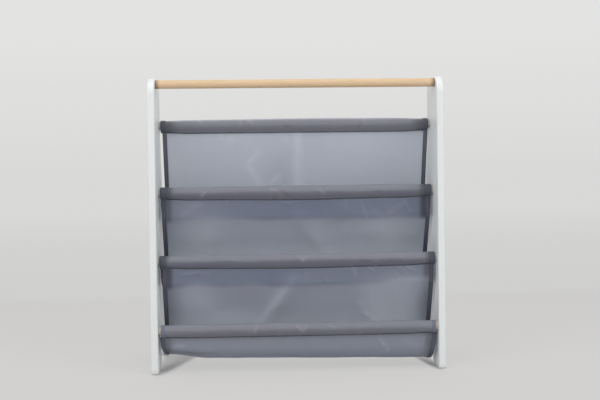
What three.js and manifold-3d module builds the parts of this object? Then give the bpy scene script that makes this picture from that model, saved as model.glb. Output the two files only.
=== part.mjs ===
// A child's sling bookshelf: two white side boards held apart by five round wooden bars. The top bar
// is bare, and the other four carry a grey cloth sling that hangs in three book pockets.
// Millimetres. X runs to the right, Y to the back and Z up. The origin is on the floor, midway between
// the two boards and midway between their front and back edges.

import * as THREE from "three";
import { mergeVertices } from "three/addons/utils/BufferGeometryUtils.js";
import Module from "manifold-3d";

const wasm = await Module();
wasm.setup();

// The space kept where one piece fits in or rests on another
const FIT_GAP = 0.3;

// Side boards
const CLEAR_WIDTH = 585;
const BOARD_THICK = 15;
const BOARD_HEIGHT = 615;
const BOARD_DEPTH = 280;
const BOARD_EDGE_ROUND = 3;
const TOP_DEPTH = 117;
const TOP_FRONT_ROUND = 36;
const TOP_BACK_ROUND = 20;
const LEAN_START_DROP = 137;
const LEAN_ROUND = 200;
const LEAN_END_HEIGHT = 70;
const HEEL_ROUND = 60;
const FOOT_LENGTH = 80;
const FOOT_OUTER_ROUND = 5;
const FOOT_INNER_ROUND = 30;
const ARCH_HEIGHT = 64;
const ARCH_SIDE_STRAIGHT = 2;

// Round bars: the bare top rail, and the dowels in the sleeves. A setback is from the boards' front
// edges to a bar's axis, and the dowels' heights are shared out evenly from the top one to the lowest.
const BAR_RADIUS = 9;
const BAR_CHAMFER = 0.8;
const BAR_SOCKET_DEPTH = 5;
const PILOT_PAST_SCREW = 7;
const RAIL_SETBACK = 28;
const RAIL_BELOW_TOP = 13;
const DOWEL_SETBACKS = [92, 58, 30, 14];
const TOP_DOWEL_BELOW_RAIL = 83;
const LOWEST_DOWEL_HEIGHT = 90;

// Screws into the bars' ends, and the caps that cover them
const SCREW_RADIUS = 2.5;
const SCREW_LENGTH = 42;
const SCREW_TIP = 5;
const SCREW_HEAD_RADIUS = 5;
const SCREW_HEAD_HEIGHT = 3;
const SCREW_DRIVE_RADIUS = 2.1;
const SCREW_DRIVE_DEPTH = 2;
const CAP_PAST_HEAD = 1.5;
const CAP_THICK = 1.8;
const CAP_EDGE = 0.5;
const CAP_RECESS = 0.2;
const CAP_STEM_LENGTH = 1.5;

// Sleeves: how far short of the boards each one ends, how far its cloth stands off the dowel at the
// sides, on top and at the seam below, and how it draws in towards its two ends
const SLEEVE_END_GAPS = [2, 2, 2, 5.5];
const SLEEVE_EASE = 0.6;
const SLEEVE_SIDE = 2.4;
const SLEEVE_TOP = 3;
const SLEEVE_SEAM = 6.2;
const SLEEVE_END_SIDE = 2;
const SLEEVE_END_TOP = 2;
const SLEEVE_END_SEAM = 2.8;
const SWELL_END_GAP = 20.5;
const SWELL_RUN = 45;

// Pockets: the sheet and its edge tape, the gap left between them and the boards at the back and the
// front, and how each hangs from one sleeve to the next. The lists run from the top pocket down.
const SHEET_THICK = 1.2;
const TAPE_THICK = 0.7;
const TAPE_WIDTH = 8.5;
const TAPE_EDGE = 1.4;
const BACK_SIDE_GAP = 6.5;
const HEEL_RADIUS = 30;
const WRAP_RADIUS = 20;
const WRAP_RISE = 4;
const LIFT_RUN = 40;
const TILT_RUN = 45;
const POCKET_DROPS = [58, 53, 65];
const FLOOR_RUNS = [92, 96, 84];
const TOE_RADII = [14, 14, 28];
const FLOOR_TILTS = [0, 0, 8];
const FRONT_SIDE_GAPS = [4, 4, 2];
const FRONT_PINCHES = [3, 3, 7];

// Where along a sheet's run, from its top edge to its front edge, it widens and is drawn in
const WIDEN_START_SHARE = 0.55;
const PINCH_SHARE = 0.8;
const PINCH_SPREAD_SHARE = 0.13;

// The long shallow folds of each pocket. A fold's two ends are given as shares of the width, from the
// left, and of the run, from the top, and its height is a share of FOLD_HEIGHT.
const FOLD_HEIGHT = 4;
const FOLD_SPREAD = 26;
const FOLD_EDGE_FADE = 45;
const FOLD_SHARES = [
  [
    { left: 0.53, top: 0.04, leftEnd: 0.52, topEnd: 0.5, height: 0.7 },
    { left: 0.37, top: 0.1, leftEnd: 0.39, topEnd: 0.45, height: 0.9 },
    { left: 0.7, top: 0.3, leftEnd: 0.84, topEnd: 0.62, height: 0.6 },
  ],
  [
    { left: 0.53, top: 0.16, leftEnd: 0.64, topEnd: 0.5, height: 1 },
    { left: 0.2, top: 0.2, leftEnd: 0.12, topEnd: 0.55, height: 0.7 },
    { left: 0.8, top: 0.26, leftEnd: 0.86, topEnd: 0.56, height: 0.6 },
  ],
  [
    { left: 0.5, top: 0.1, leftEnd: 0.34, topEnd: 0.45, height: 1 },
    { left: 0.72, top: 0.14, leftEnd: 0.82, topEnd: 0.5, height: 0.9 },
    { left: 0.12, top: 0.2, leftEnd: 0.2, topEnd: 0.5, height: 0.6 },
  ],
];

// How finely the round and the cloth forms are divided
const ROUND_SIDES = 20;
const SMALL_SIDES = 12;
const OUTLINE_STEPS = 4;
const EDGE_STEPS = 2;
const SHEET_COLUMNS = 20;
const SLEEVE_COLUMNS = 10;
const SLEEVE_SIDES = 12;
const LINE_STEP = 40;
const ARC_STEP = Math.PI / 6;

// Cuts start and end this far outside the material
const OVERRUN = 1;

// Sizes that follow from the ones above
const halfClear = CLEAR_WIDTH / 2;
const frontY = -BOARD_DEPTH / 2;
const backY = BOARD_DEPTH / 2;
const topBackY = frontY + TOP_DEPTH;
const archRound = ARCH_HEIGHT - FOOT_INNER_ROUND - ARCH_SIDE_STRAIGHT;
const barInsert = BAR_SOCKET_DEPTH - FIT_GAP;
const barLength = CLEAR_WIDTH + 2 * barInsert;
const railPlace = { y: frontY + RAIL_SETBACK, z: BOARD_HEIGHT - RAIL_BELOW_TOP };
const topDowelHeight = railPlace.z - TOP_DOWEL_BELOW_RAIL;
const dowelPitch = (topDowelHeight - LOWEST_DOWEL_HEIGHT) / (DOWEL_SETBACKS.length - 1);
const dowelPlaces = DOWEL_SETBACKS.map((setback, index) => ({
  y: frontY + setback,
  z: topDowelHeight - index * dowelPitch,
}));
const socketRadius = BAR_RADIUS + FIT_GAP;
const screwHoleRadius = SCREW_RADIUS + FIT_GAP;
const capRadius = SCREW_HEAD_RADIUS + CAP_PAST_HEAD;
const capSeatRadius = capRadius + FIT_GAP;
const screwHeadTop = CAP_RECESS + CAP_THICK + FIT_GAP;
const screwSeatDepth = screwHeadTop + SCREW_HEAD_HEIGHT;
const screwInBar = SCREW_LENGTH - (BOARD_THICK - screwSeatDepth - barInsert);
const pilotDepth = screwInBar + PILOT_PAST_SCREW;
const sleeveBoreRadius = BAR_RADIUS + SLEEVE_EASE;
const sleeveDrop = BAR_RADIUS + SLEEVE_SEAM;
const swellStart = halfClear - SWELL_END_GAP;
const backWidth = CLEAR_WIDTH - 2 * BACK_SIDE_GAP;
const pockets = POCKET_DROPS.map((drop, index) => ({
  drop,
  floorRun: FLOOR_RUNS[index],
  toeRadius: TOE_RADII[index],
  tilt: FLOOR_TILTS[index],
  frontWidth: CLEAR_WIDTH - 2 * FRONT_SIDE_GAPS[index],
  pinch: FRONT_PINCHES[index],
}));
const slotHalf = SHEET_THICK / 2 + FIT_GAP;
const tapeHalf = slotHalf + TAPE_THICK;
const seamHalf = tapeHalf + FIT_GAP / 2;

const PAINT = { color: 0xe9e9e7, roughness: 0.42, metalness: 0 };
const BARE_WOOD = { color: 0xc2986a, roughness: 0.58, metalness: 0 };
const CLOTH = { color: 0x82878f, roughness: 0.85, metalness: 0 };
const SLEEVE_CLOTH = { color: 0x75777b, roughness: 0.85, metalness: 0 };
const TAPE = { color: 0x33363e, roughness: 0.8, metalness: 0 };
const STEEL = { color: 0xa7a9ab, roughness: 0.35, metalness: 1 };
const CAP_PLASTIC = { color: 0xeeeeec, roughness: 0.4, metalness: 0 };

// A closed solid of a geometry, with the vertices that its faces share merged
function solidOf(geometry) {
  const bare = geometry.clone();
  bare.deleteAttribute("normal");
  bare.deleteAttribute("uv");
  const merged = mergeVertices(bare);
  return new wasm.Manifold(
    new wasm.Mesh({
      numProp: 3,
      vertProperties: new Float32Array(merged.attributes.position.array),
      triVerts: new Uint32Array(merged.index.array),
    }),
  );
}

function geometryOf(solid) {
  const mesh = solid.getMesh();
  const geometry = new THREE.BufferGeometry();
  geometry.setAttribute("position", new THREE.BufferAttribute(mesh.vertProperties, 3));
  geometry.setIndex(new THREE.BufferAttribute(mesh.triVerts, 1));
  return geometry;
}

// One geometry with others cut away from it
function cutAway(geometry, cutters) {
  let solid = solidOf(geometry);
  for (const cutter of cutters) {
    solid = solid.subtract(solidOf(cutter));
  }
  return geometryOf(solid);
}

// A cylinder along X from one x to another
function cylinderAlongX(radius, fromX, toX, place, sides) {
  const geometry = new THREE.CylinderGeometry(radius, radius, Math.abs(toX - fromX), sides);
  geometry.rotateZ(Math.PI / 2);
  geometry.translate((fromX + toX) / 2, place.y, place.z);
  return geometry;
}

// Runs a path through corners, each turned on its own radius
function traceCorners(path, corners, closed) {
  const count = corners.length;
  corners.forEach((here, index) => {
    const isEnd = !closed && (index === 0 || index === count - 1);
    let start = new THREE.Vector2(here.y, here.z);
    let turn = null;
    if (!isEnd) {
      const before = corners[(index + count - 1) % count];
      const after = corners[(index + 1) % count];
      const toBefore = new THREE.Vector2(before.y - here.y, before.z - here.z).normalize();
      const toAfter = new THREE.Vector2(after.y - here.y, after.z - here.z).normalize();
      const halfAngle = Math.acos(toBefore.dot(toAfter)) / 2;
      const reach = here.round / Math.tan(halfAngle);
      const bisector = toBefore.clone().add(toAfter).normalize();
      const centre = start.clone().addScaledVector(bisector, here.round / Math.sin(halfAngle));
      const end = start.clone().addScaledVector(toAfter, reach);
      start = start.clone().addScaledVector(toBefore, reach);
      turn = { centre, end, clockwise: toAfter.cross(toBefore) < 0 };
    }
    if (index === 0) {
      path.moveTo(start.x, start.y);
    } else {
      path.lineTo(start.x, start.y);
    }
    if (turn) {
      const startAngle = start.clone().sub(turn.centre).angle();
      const endAngle = turn.end.clone().sub(turn.centre).angle();
      path.absarc(turn.centre.x, turn.centre.y, here.round, startAngle, endAngle, turn.clockwise);
    }
  });
  if (closed) {
    path.closePath();
  }
  return path;
}

// Joins rings of points, each a closed loop, into one solid with a face over the first and last ring.
// The flat outline of a ring gives the triangles of the end faces.
function loft(rings, flat) {
  const loops = rings.map((ring) => ring.slice());
  const outline = flat.slice();
  if (THREE.ShapeUtils.isClockWise(outline)) {
    outline.reverse();
    loops.forEach((loop) => loop.reverse());
  }
  const size = outline.length;
  const positions = [];
  loops.forEach((loop) => loop.forEach((point) => positions.push(point.x, point.y, point.z)));
  const faces = [];
  for (let row = 0; row < loops.length - 1; row += 1) {
    for (let side = 0; side < size; side += 1) {
      const next = (side + 1) % size;
      const a = row * size + side;
      const b = row * size + next;
      const c = b + size;
      const d = a + size;
      faces.push(a, b, c, a, c, d);
    }
  }
  const lastRing = (loops.length - 1) * size;
  for (const [a, b, c] of THREE.ShapeUtils.triangulateShape(outline, [])) {
    faces.push(c, b, a);
    faces.push(lastRing + a, lastRing + b, lastRing + c);
  }
  const geometry = new THREE.BufferGeometry();
  geometry.setAttribute("position", new THREE.Float32BufferAttribute(positions, 3));
  geometry.setIndex(faces);
  return geometry;
}

function smoothStep(value) {
  const share = Math.min(Math.max(value, 0), 1);
  return share * share * (3 - 2 * share);
}

// The board's outline seen from the side, from the toe of the front foot round to the front edge
function boardShape() {
  const corners = [
    { y: frontY, z: 0, round: FOOT_OUTER_ROUND },
    { y: frontY + FOOT_LENGTH, z: 0, round: FOOT_INNER_ROUND },
    { y: frontY + FOOT_LENGTH, z: ARCH_HEIGHT, round: archRound },
    { y: backY - FOOT_LENGTH, z: ARCH_HEIGHT, round: archRound },
    { y: backY - FOOT_LENGTH, z: 0, round: FOOT_INNER_ROUND },
    { y: backY, z: 0, round: FOOT_OUTER_ROUND },
    { y: backY, z: LEAN_END_HEIGHT, round: HEEL_ROUND },
    { y: topBackY, z: BOARD_HEIGHT - LEAN_START_DROP, round: LEAN_ROUND },
    { y: topBackY, z: BOARD_HEIGHT, round: TOP_BACK_ROUND },
    { y: frontY, z: BOARD_HEIGHT, round: TOP_FRONT_ROUND },
  ];
  return traceCorners(new THREE.Shape(), corners, true);
}

// A side board, with a shallow socket for each bar's end on its inner face, and from its outer face
// a recess for each screw's head and cap. Side is -1 for the left board and 1 for the right.
function boardGeometry(side) {
  const blank = new THREE.ExtrudeGeometry(boardShape(), {
    depth: BOARD_THICK - 2 * BOARD_EDGE_ROUND,
    bevelEnabled: true,
    bevelThickness: BOARD_EDGE_ROUND,
    bevelSize: BOARD_EDGE_ROUND,
    bevelOffset: -BOARD_EDGE_ROUND,
    bevelSegments: EDGE_STEPS,
    curveSegments: OUTLINE_STEPS,
  });
  blank.translate(0, 0, BOARD_EDGE_ROUND);
  const alongY = new THREE.Vector3(0, 1, 0);
  const alongZ = new THREE.Vector3(0, 0, 1);
  const alongX = new THREE.Vector3(1, 0, 0);
  blank.applyMatrix4(new THREE.Matrix4().makeBasis(alongY, alongZ, alongX));
  blank.translate(side > 0 ? halfClear : -halfClear - BOARD_THICK, 0, 0);

  const innerX = side * halfClear;
  const outerX = side * (halfClear + BOARD_THICK);
  const cutters = [];
  for (const place of [railPlace, ...dowelPlaces]) {
    const socketEnd = innerX + side * BAR_SOCKET_DEPTH;
    const seatEnd = outerX - side * screwSeatDepth;
    const overInner = innerX - side * OVERRUN;
    const overOuter = outerX + side * OVERRUN;
    cutters.push(cylinderAlongX(socketRadius, overInner, socketEnd, place, ROUND_SIDES));
    cutters.push(cylinderAlongX(capSeatRadius, seatEnd, overOuter, place, SMALL_SIDES));
    cutters.push(cylinderAlongX(screwHoleRadius, overInner, overOuter, place, SMALL_SIDES));
  }
  return cutAway(blank, cutters);
}

// A round bar along its own Y axis, with chamfered ends and a pilot hole in each for its screw
function barGeometry() {
  const end = barLength / 2;
  const pilotEnd = end - pilotDepth;
  const half = [
    [0, pilotEnd],
    [screwHoleRadius, pilotEnd],
    [screwHoleRadius, end],
    [BAR_RADIUS - BAR_CHAMFER, end],
    [BAR_RADIUS, end - BAR_CHAMFER],
  ];
  const lower = half.map(([radius, along]) => new THREE.Vector2(radius, -along));
  const upper = half.map(([radius, along]) => new THREE.Vector2(radius, along)).reverse();
  return new THREE.LatheGeometry([...lower, ...upper], ROUND_SIDES);
}

// A screw along its own Y axis: the tip down, the underside of the head at zero
function screwGeometry() {
  const top = SCREW_HEAD_HEIGHT;
  const profile = [
    [0, -SCREW_LENGTH],
    [SCREW_RADIUS, SCREW_TIP - SCREW_LENGTH],
    [SCREW_RADIUS, 0],
    [SCREW_HEAD_RADIUS, 0],
    [SCREW_HEAD_RADIUS, top],
    [SCREW_DRIVE_RADIUS, top],
    [SCREW_DRIVE_RADIUS, top - SCREW_DRIVE_DEPTH],
    [0, top - SCREW_DRIVE_DEPTH],
  ];
  return new THREE.LatheGeometry(
    profile.map(([radius, along]) => new THREE.Vector2(radius, along)),
    SMALL_SIDES,
  );
}

// A cover cap along its own Y axis: the disc's underside at zero, its stem below
function capGeometry() {
  const stemRadius = SCREW_DRIVE_RADIUS - FIT_GAP;
  const profile = [
    [0, -CAP_STEM_LENGTH],
    [stemRadius, -CAP_STEM_LENGTH],
    [stemRadius, 0],
    [capRadius, 0],
    [capRadius, CAP_THICK - CAP_EDGE],
    [capRadius - CAP_EDGE, CAP_THICK],
    [0, CAP_THICK],
  ];
  return new THREE.LatheGeometry(
    profile.map(([radius, along]) => new THREE.Vector2(radius, along)),
    SMALL_SIDES,
  );
}

// How far the sleeves have swollen to their full size at a distance from the middle
function sleeveSwell(x) {
  return smoothStep((swellStart - Math.abs(x)) / SWELL_RUN);
}

// A sleeve's size from the dowel's axis, where its cloth stands off by one size at the ends and by
// another over the middle
function sleeveReach(endStand, fullStand, x) {
  return BAR_RADIUS + endStand + (fullStand - endStand) * sleeveSwell(x);
}

// A sleeve round a dowel: round over the top, and hanging in a blunt point where it is sewn
function sleeveGeometry(place, length) {
  const half = length / 2;
  const swellEnd = swellStart - SWELL_RUN;
  const columns = [-half, half];
  for (let column = 0; column <= SLEEVE_COLUMNS; column += 1) {
    columns.push(swellEnd * ((2 * column) / SLEEVE_COLUMNS - 1));
  }
  for (const side of [-1, 1]) {
    columns.push(side * swellStart);
    columns.push(side * (swellStart - SWELL_RUN / 2));
  }
  columns.sort((a, b) => a - b);
  const ringAt = (x) => {
    const halfDepth = sleeveReach(SLEEVE_END_SIDE, SLEEVE_SIDE, x);
    const rise = sleeveReach(SLEEVE_END_TOP, SLEEVE_TOP, x);
    const drop = sleeveReach(SLEEVE_END_SEAM, SLEEVE_SEAM, x);
    const points = [];
    for (let side = 0; side < SLEEVE_SIDES; side += 1) {
      const angle = (2 * Math.PI * side) / SLEEVE_SIDES;
      const height = Math.cos(angle);
      const z = height > 0 ? rise * height : drop * height;
      points.push(new THREE.Vector3(x, place.y + halfDepth * Math.sin(angle), place.z + z));
    }
    return points;
  };
  const rings = columns.map(ringAt);
  const flat = rings[0].map((point) => new THREE.Vector2(point.y, point.z));
  const bore = cylinderAlongX(
    sleeveBoreRadius,
    -half - OVERRUN,
    half + OVERRUN,
    place,
    ROUND_SIDES,
  );
  return cutAway(loft(rings, flat), [bore]);
}

// The run of a pocket's sheet seen from the side: down from its own sleeve, over the pocket before it,
// back and down to the heel, forward along the floor and up to the next sleeve
function pocketRun(index) {
  const pocket = pockets[index];
  const top = dowelPlaces[index];
  const front = dowelPlaces[index + 1];
  const seamDrop = sleeveDrop + FIT_GAP;
  const startY = index === 0 ? top.y : top.y - seamHalf;
  const endY = index === pockets.length - 1 ? front.y : front.y + seamHalf;
  const floorZ = front.z - pocket.drop;
  const corners = [{ y: startY, z: top.z - seamDrop }];
  if (index > 0) {
    const wrapZ = top.z - pockets[index - 1].drop + WRAP_RISE;
    corners.push({ y: startY, z: wrapZ, round: WRAP_RADIUS });
  }
  corners.push({ y: front.y + pocket.floorRun, z: floorZ, round: HEEL_RADIUS });
  corners.push({ y: endY, z: floorZ, round: pocket.toeRadius });
  corners.push({ y: endY, z: front.z - seamDrop });
  const path = traceCorners(new THREE.Path(), corners, false);

  const stations = [];
  let travelled = 0;
  const curves = path.curves.filter((curve) => curve.getLength() > FIT_GAP);
  curves.forEach((curve) => {
    const length = curve.getLength();
    const isArc = curve.isEllipseCurve === true;
    const steps = Math.max(1, Math.ceil(length / (isArc ? ARC_STEP * curve.xRadius : LINE_STEP)));
    for (let step = stations.length === 0 ? 0 : 1; step <= steps; step += 1) {
      const share = step / steps;
      const point = curve.getPoint(share);
      const along = curve.getTangent(share);
      stations.push({
        y: point.x,
        z: point.y,
        inY: along.y,
        inZ: -along.x,
        distance: travelled + share * length,
      });
    }
    travelled += length;
  });
  stations.forEach((station) => {
    station.share = station.distance / travelled;
    station.endDistance = travelled - station.distance;
    station.tilt = pocket.tilt * Math.max(0, 1 - (station.z - floorZ) / TILT_RUN);
  });
  return stations;
}

// Half the width of a pocket, tape included, at a share of its run
function halfWidthAt(pocket, share) {
  const widened = smoothStep((share - WIDEN_START_SHARE) / (1 - WIDEN_START_SHARE));
  const fromPinch = (share - PINCH_SHARE) / PINCH_SPREAD_SHARE;
  const width = backWidth + (pocket.frontWidth - backWidth) * widened;
  return width / 2 - pocket.pinch * Math.exp(-fromPinch * fromPinch);
}

// How far a point of the sheet lies above its run: near the sewn edges, where the sleeves' ends are
// slimmer, and along a floor that hangs lower to the right
function liftAt(x, station) {
  const slimmer = sleeveDrop - sleeveReach(SLEEVE_END_SEAM, SLEEVE_SEAM, x);
  const nearStart = Math.max(0, 1 - station.distance / LIFT_RUN);
  const nearEnd = Math.max(0, 1 - station.endDistance / LIFT_RUN);
  return slimmer * (nearStart + nearEnd) - (station.tilt * x) / (backWidth / 2);
}

// How far the folds stand up into the pocket at one point of the sheet
function foldAt(folds, x, station, runLength) {
  const left = x / backWidth + 1 / 2;
  let height = 0;
  folds.forEach((fold) => {
    const acrossRun = (fold.leftEnd - fold.left) * backWidth;
    const downRun = (fold.topEnd - fold.top) * runLength;
    const across = (left - fold.left) * backWidth;
    const down = (station.share - fold.top) * runLength;
    const along = (across * acrossRun + down * downRun) / (acrossRun ** 2 + downRun ** 2);
    const nearest = Math.min(Math.max(along, 0), 1);
    const away = Math.hypot(across - nearest * acrossRun, down - nearest * downRun) / FOLD_SPREAD;
    height = Math.max(height, FOLD_HEIGHT * fold.height * Math.exp(-away * away));
  });
  const fromSide = (backWidth / 2 - TAPE_WIDTH - Math.abs(x)) / FOLD_EDGE_FADE;
  const fromStart = station.distance / FOLD_EDGE_FADE;
  const fromEnd = station.endDistance / FOLD_EDGE_FADE;
  return height * smoothStep(fromSide) * smoothStep(fromStart) * smoothStep(fromEnd);
}

// A pocket's sheet: columns of points from side to side, each running down the back, along the floor
// and up the front, on the inner and the outer face of the cloth
function pocketGeometry(index) {
  const pocket = pockets[index];
  const stations = pocketRun(index);
  const runLength = stations[stations.length - 1].distance;
  const slotDepth = TAPE_EDGE + FIT_GAP;
  const pointAt = (share, station, face) => {
    const x = share * (halfWidthAt(pocket, station.share) - slotDepth);
    const out = foldAt(FOLD_SHARES[index], x, station, runLength) + (face * SHEET_THICK) / 2;
    const z = station.z + liftAt(x, station);
    return new THREE.Vector3(x, station.y + out * station.inY, z + out * station.inZ);
  };
  const rings = [];
  for (let column = 0; column <= SHEET_COLUMNS; column += 1) {
    const share = (2 * column) / SHEET_COLUMNS - 1;
    const inner = stations.map((station) => pointAt(share, station, 1));
    const outer = stations.map((station) => pointAt(share, station, -1));
    rings.push([...inner, ...outer.reverse()]);
  }
  const flat = rings[0].map((point) => new THREE.Vector2(point.y, point.z));
  return loft(rings, flat);
}

// The tape folded over a pocket's side edge: a narrow channel that the sheet's edge sits in
function bindingGeometry(index, side) {
  const pocket = pockets[index];
  const ringAt = (station) => {
    const outer = halfWidthAt(pocket, station.share);
    const section = [
      [outer - TAPE_WIDTH, -tapeHalf],
      [outer, -tapeHalf],
      [outer, tapeHalf],
      [outer - TAPE_WIDTH, tapeHalf],
      [outer - TAPE_WIDTH, slotHalf],
      [outer - TAPE_EDGE, slotHalf],
      [outer - TAPE_EDGE, -slotHalf],
      [outer - TAPE_WIDTH, -slotHalf],
    ];
    const z = station.z + liftAt(side * outer, station);
    const points = section.map(
      ([x, out]) => new THREE.Vector3(side * x, station.y + out * station.inY, z + out * station.inZ),
    );
    return { points, flat: section.map(([x, out]) => new THREE.Vector2(side * x, out)) };
  };
  const rings = pocketRun(index).map(ringAt);
  return loft(
    rings.map((ring) => ring.points),
    rings[0].flat,
  );
}

const bookshelf = new THREE.Group();

function addPiece(name, geometry, finish) {
  const mesh = new THREE.Mesh(geometry, new THREE.MeshStandardMaterial(finish));
  mesh.name = name;
  bookshelf.add(mesh);
  return mesh;
}

// A bar between the boards, with a screw and a cap at each end
function addBar(barName, fastenerName, number, place) {
  const bar = addPiece(barName, barGeometry(), BARE_WOOD);
  bar.rotation.z = Math.PI / 2;
  bar.position.set(0, place.y, place.z);
  for (const [sideName, side] of [["left", -1], ["right", 1]]) {
    const outerX = side * (halfClear + BOARD_THICK);
    const screw = addPiece(`${fastenerName}_screw_${sideName}${number}`, screwGeometry(), STEEL);
    screw.rotation.z = (-side * Math.PI) / 2;
    screw.position.set(outerX - side * screwSeatDepth, place.y, place.z);
    const cap = addPiece(`${fastenerName}_cap_${sideName}${number}`, capGeometry(), CAP_PLASTIC);
    cap.rotation.z = (-side * Math.PI) / 2;
    cap.position.set(outerX - side * (CAP_RECESS + CAP_THICK), place.y, place.z);
  }
}

addPiece("side_board_left", boardGeometry(-1), PAINT);
addPiece("side_board_right", boardGeometry(1), PAINT);
addBar("top_rail", "rail", "", railPlace);
dowelPlaces.forEach((place, index) => {
  addBar(`sling_dowel_${index + 1}`, "dowel", `_${index + 1}`, place);
  const sleeve = sleeveGeometry(place, CLEAR_WIDTH - 2 * SLEEVE_END_GAPS[index]);
  addPiece(`sling_sleeve_${index + 1}`, sleeve, SLEEVE_CLOTH);
});
pockets.forEach((pocket, index) => {
  addPiece(`sling_pocket_${index + 1}`, pocketGeometry(index), CLOTH);
  addPiece(`edge_binding_left_${index + 1}`, bindingGeometry(index, -1), TAPE);
  addPiece(`edge_binding_right_${index + 1}`, bindingGeometry(index, 1), TAPE);
});

export default bookshelf;
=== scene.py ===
import math

import bmesh
import bpy
import numpy as np
from mathutils import Color, Matrix, Vector, noise


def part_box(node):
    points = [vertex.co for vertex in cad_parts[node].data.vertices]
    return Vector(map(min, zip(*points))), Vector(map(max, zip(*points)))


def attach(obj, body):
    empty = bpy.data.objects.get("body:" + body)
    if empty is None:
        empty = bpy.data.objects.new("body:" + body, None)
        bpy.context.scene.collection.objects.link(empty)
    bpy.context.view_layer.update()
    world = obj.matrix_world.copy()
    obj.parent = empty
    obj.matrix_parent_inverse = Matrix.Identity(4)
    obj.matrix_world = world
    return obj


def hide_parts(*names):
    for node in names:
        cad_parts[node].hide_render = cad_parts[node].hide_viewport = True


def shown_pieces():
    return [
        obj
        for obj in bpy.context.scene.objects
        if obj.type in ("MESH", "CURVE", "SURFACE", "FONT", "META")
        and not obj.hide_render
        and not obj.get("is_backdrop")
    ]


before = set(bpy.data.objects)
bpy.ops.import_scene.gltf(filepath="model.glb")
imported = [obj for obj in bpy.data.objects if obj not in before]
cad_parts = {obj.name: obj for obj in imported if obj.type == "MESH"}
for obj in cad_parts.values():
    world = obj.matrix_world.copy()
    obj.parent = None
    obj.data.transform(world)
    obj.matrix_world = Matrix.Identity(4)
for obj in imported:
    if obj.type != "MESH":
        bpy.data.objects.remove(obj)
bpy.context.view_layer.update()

# Side boards: two sheets of fibreboard, cut to outline, rounded over along every edge and sprayed
# with satin white paint. Inside, each has a shallow socket for every bar. From outside, a stepped
# hole lets each screw's head and cover cap sit flush.
BAR_NODES = ["top_rail", "sling_dowel_1", "sling_dowel_2", "sling_dowel_3", "sling_dowel_4"]
TOP_DEPTH = 0.117
TOP_FRONT_ROUND = 0.036
TOP_BACK_ROUND = 0.020
LEAN_TOP_DROP = 0.137
LEAN_ROUND = 0.200
LEAN_FOOT_HEIGHT = 0.070
HEEL_ROUND = 0.060
FOOT_LENGTH = 0.080
FOOT_OUTER_ROUND = 0.005
FOOT_INNER_ROUND = 0.030
ARCH_HEIGHT = 0.064
ARCH_ROUND = 0.032
ARC_STEPS = 14
EDGE_ROUND = 0.003
EDGE_STEPS = 5
SOCKET_RADIUS = 0.0093
SOCKET_DEPTH = 0.005
SCREW_HOLE_RADIUS = 0.0028
CAP_SEAT_RADIUS = 0.0068
CAP_SEAT_DEPTH = 0.0053
HOLE_SIDES = 48
CUT_PAST = 0.001
NEAR = 0.0001
FACING = 0.9
SCUFF_HEIGHT = 0.012


def select_only(piece):
    bpy.ops.object.select_all(action="DESELECT")
    piece.select_set(True)
    bpy.context.view_layer.objects.active = piece


def start_piece(name):
    """Names the primitive that was just added, puts its place into its mesh and returns it."""
    piece = bpy.context.object
    piece.name = name
    piece.data.name = name
    bpy.ops.object.transform_apply(location=True, rotation=True, scale=True)
    return piece


def start_cylinder(name, sides, radius, start_x, end_x, centre):
    """A new cylinder along X, from one x to another, round the y and z of a centre."""
    bpy.ops.object.select_all(action="DESELECT")
    bpy.ops.mesh.primitive_cylinder_add(
        vertices=sides,
        radius=radius,
        depth=abs(end_x - start_x),
        location=((start_x + end_x) / 2, centre.y, centre.z),
        rotation=(0, math.pi / 2, 0),
    )
    return start_piece(name)


def open_piece(piece, kind):
    """Enters edit mode on one piece alone with nothing selected; kind is VERT, EDGE or FACE."""
    select_only(piece)
    bpy.ops.object.mode_set(mode="EDIT")
    bpy.ops.mesh.select_mode(type=kind)
    bpy.ops.mesh.select_all(action="DESELECT")


def pick(piece, kind, wanted):
    """In edit mode, selects the verts, edges or faces for which wanted(item) is true."""
    bpy.ops.mesh.select_all(action="DESELECT")
    mesh = bmesh.from_edit_mesh(piece.data)
    for item in getattr(mesh, kind):
        if wanted(item):
            item.select_set(True)
    mesh.select_flush_mode()
    bmesh.update_edit_mesh(piece.data)


def extrude_along_x(distance):
    bpy.ops.mesh.extrude_region_move(TRANSFORM_OT_translate={"value": (distance, 0, 0)})


def close_piece():
    bpy.ops.object.mode_set(mode="OBJECT")


def close_outward():
    """Turns every face of the open piece outward and leaves edit mode."""
    bpy.ops.mesh.select_all(action="SELECT")
    bpy.ops.mesh.normals_make_consistent(inside=False)
    close_piece()


def add_object(name, data):
    """A new object in the scene that holds a mesh, a lamp or a camera."""
    holder = bpy.data.objects.new(name, data)
    bpy.context.scene.collection.objects.link(holder)
    return holder


def copy_piece(piece, name, change):
    """A copy with its own mesh, moved or mirrored by a matrix."""
    mesh = piece.data.copy()
    mesh.name = name
    mesh.transform(change)
    twin = add_object(name, mesh)
    if change.determinant() < 0:
        open_piece(twin, "FACE")
        close_outward()
    return twin


def apply_modifier(piece, kind, **settings):
    select_only(piece)
    modifier = piece.modifiers.new(kind.lower(), kind)
    for key, value in settings.items():
        setattr(modifier, key, value)
    bpy.ops.object.modifier_apply(modifier=modifier.name)


def smooth(piece, degrees):
    """Shades a piece smooth, apart from edges that turn by more than so many degrees."""
    select_only(piece)
    bpy.ops.object.shade_smooth_by_angle(angle=math.radians(degrees))


def shade(red, green, blue):
    """A colour as it looks on a screen, from 0 to 255, in the linear values that nodes take."""
    seen = Color((red, green, blue)) / 255
    return (*seen.from_srgb_to_scene_linear(), 1)


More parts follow.
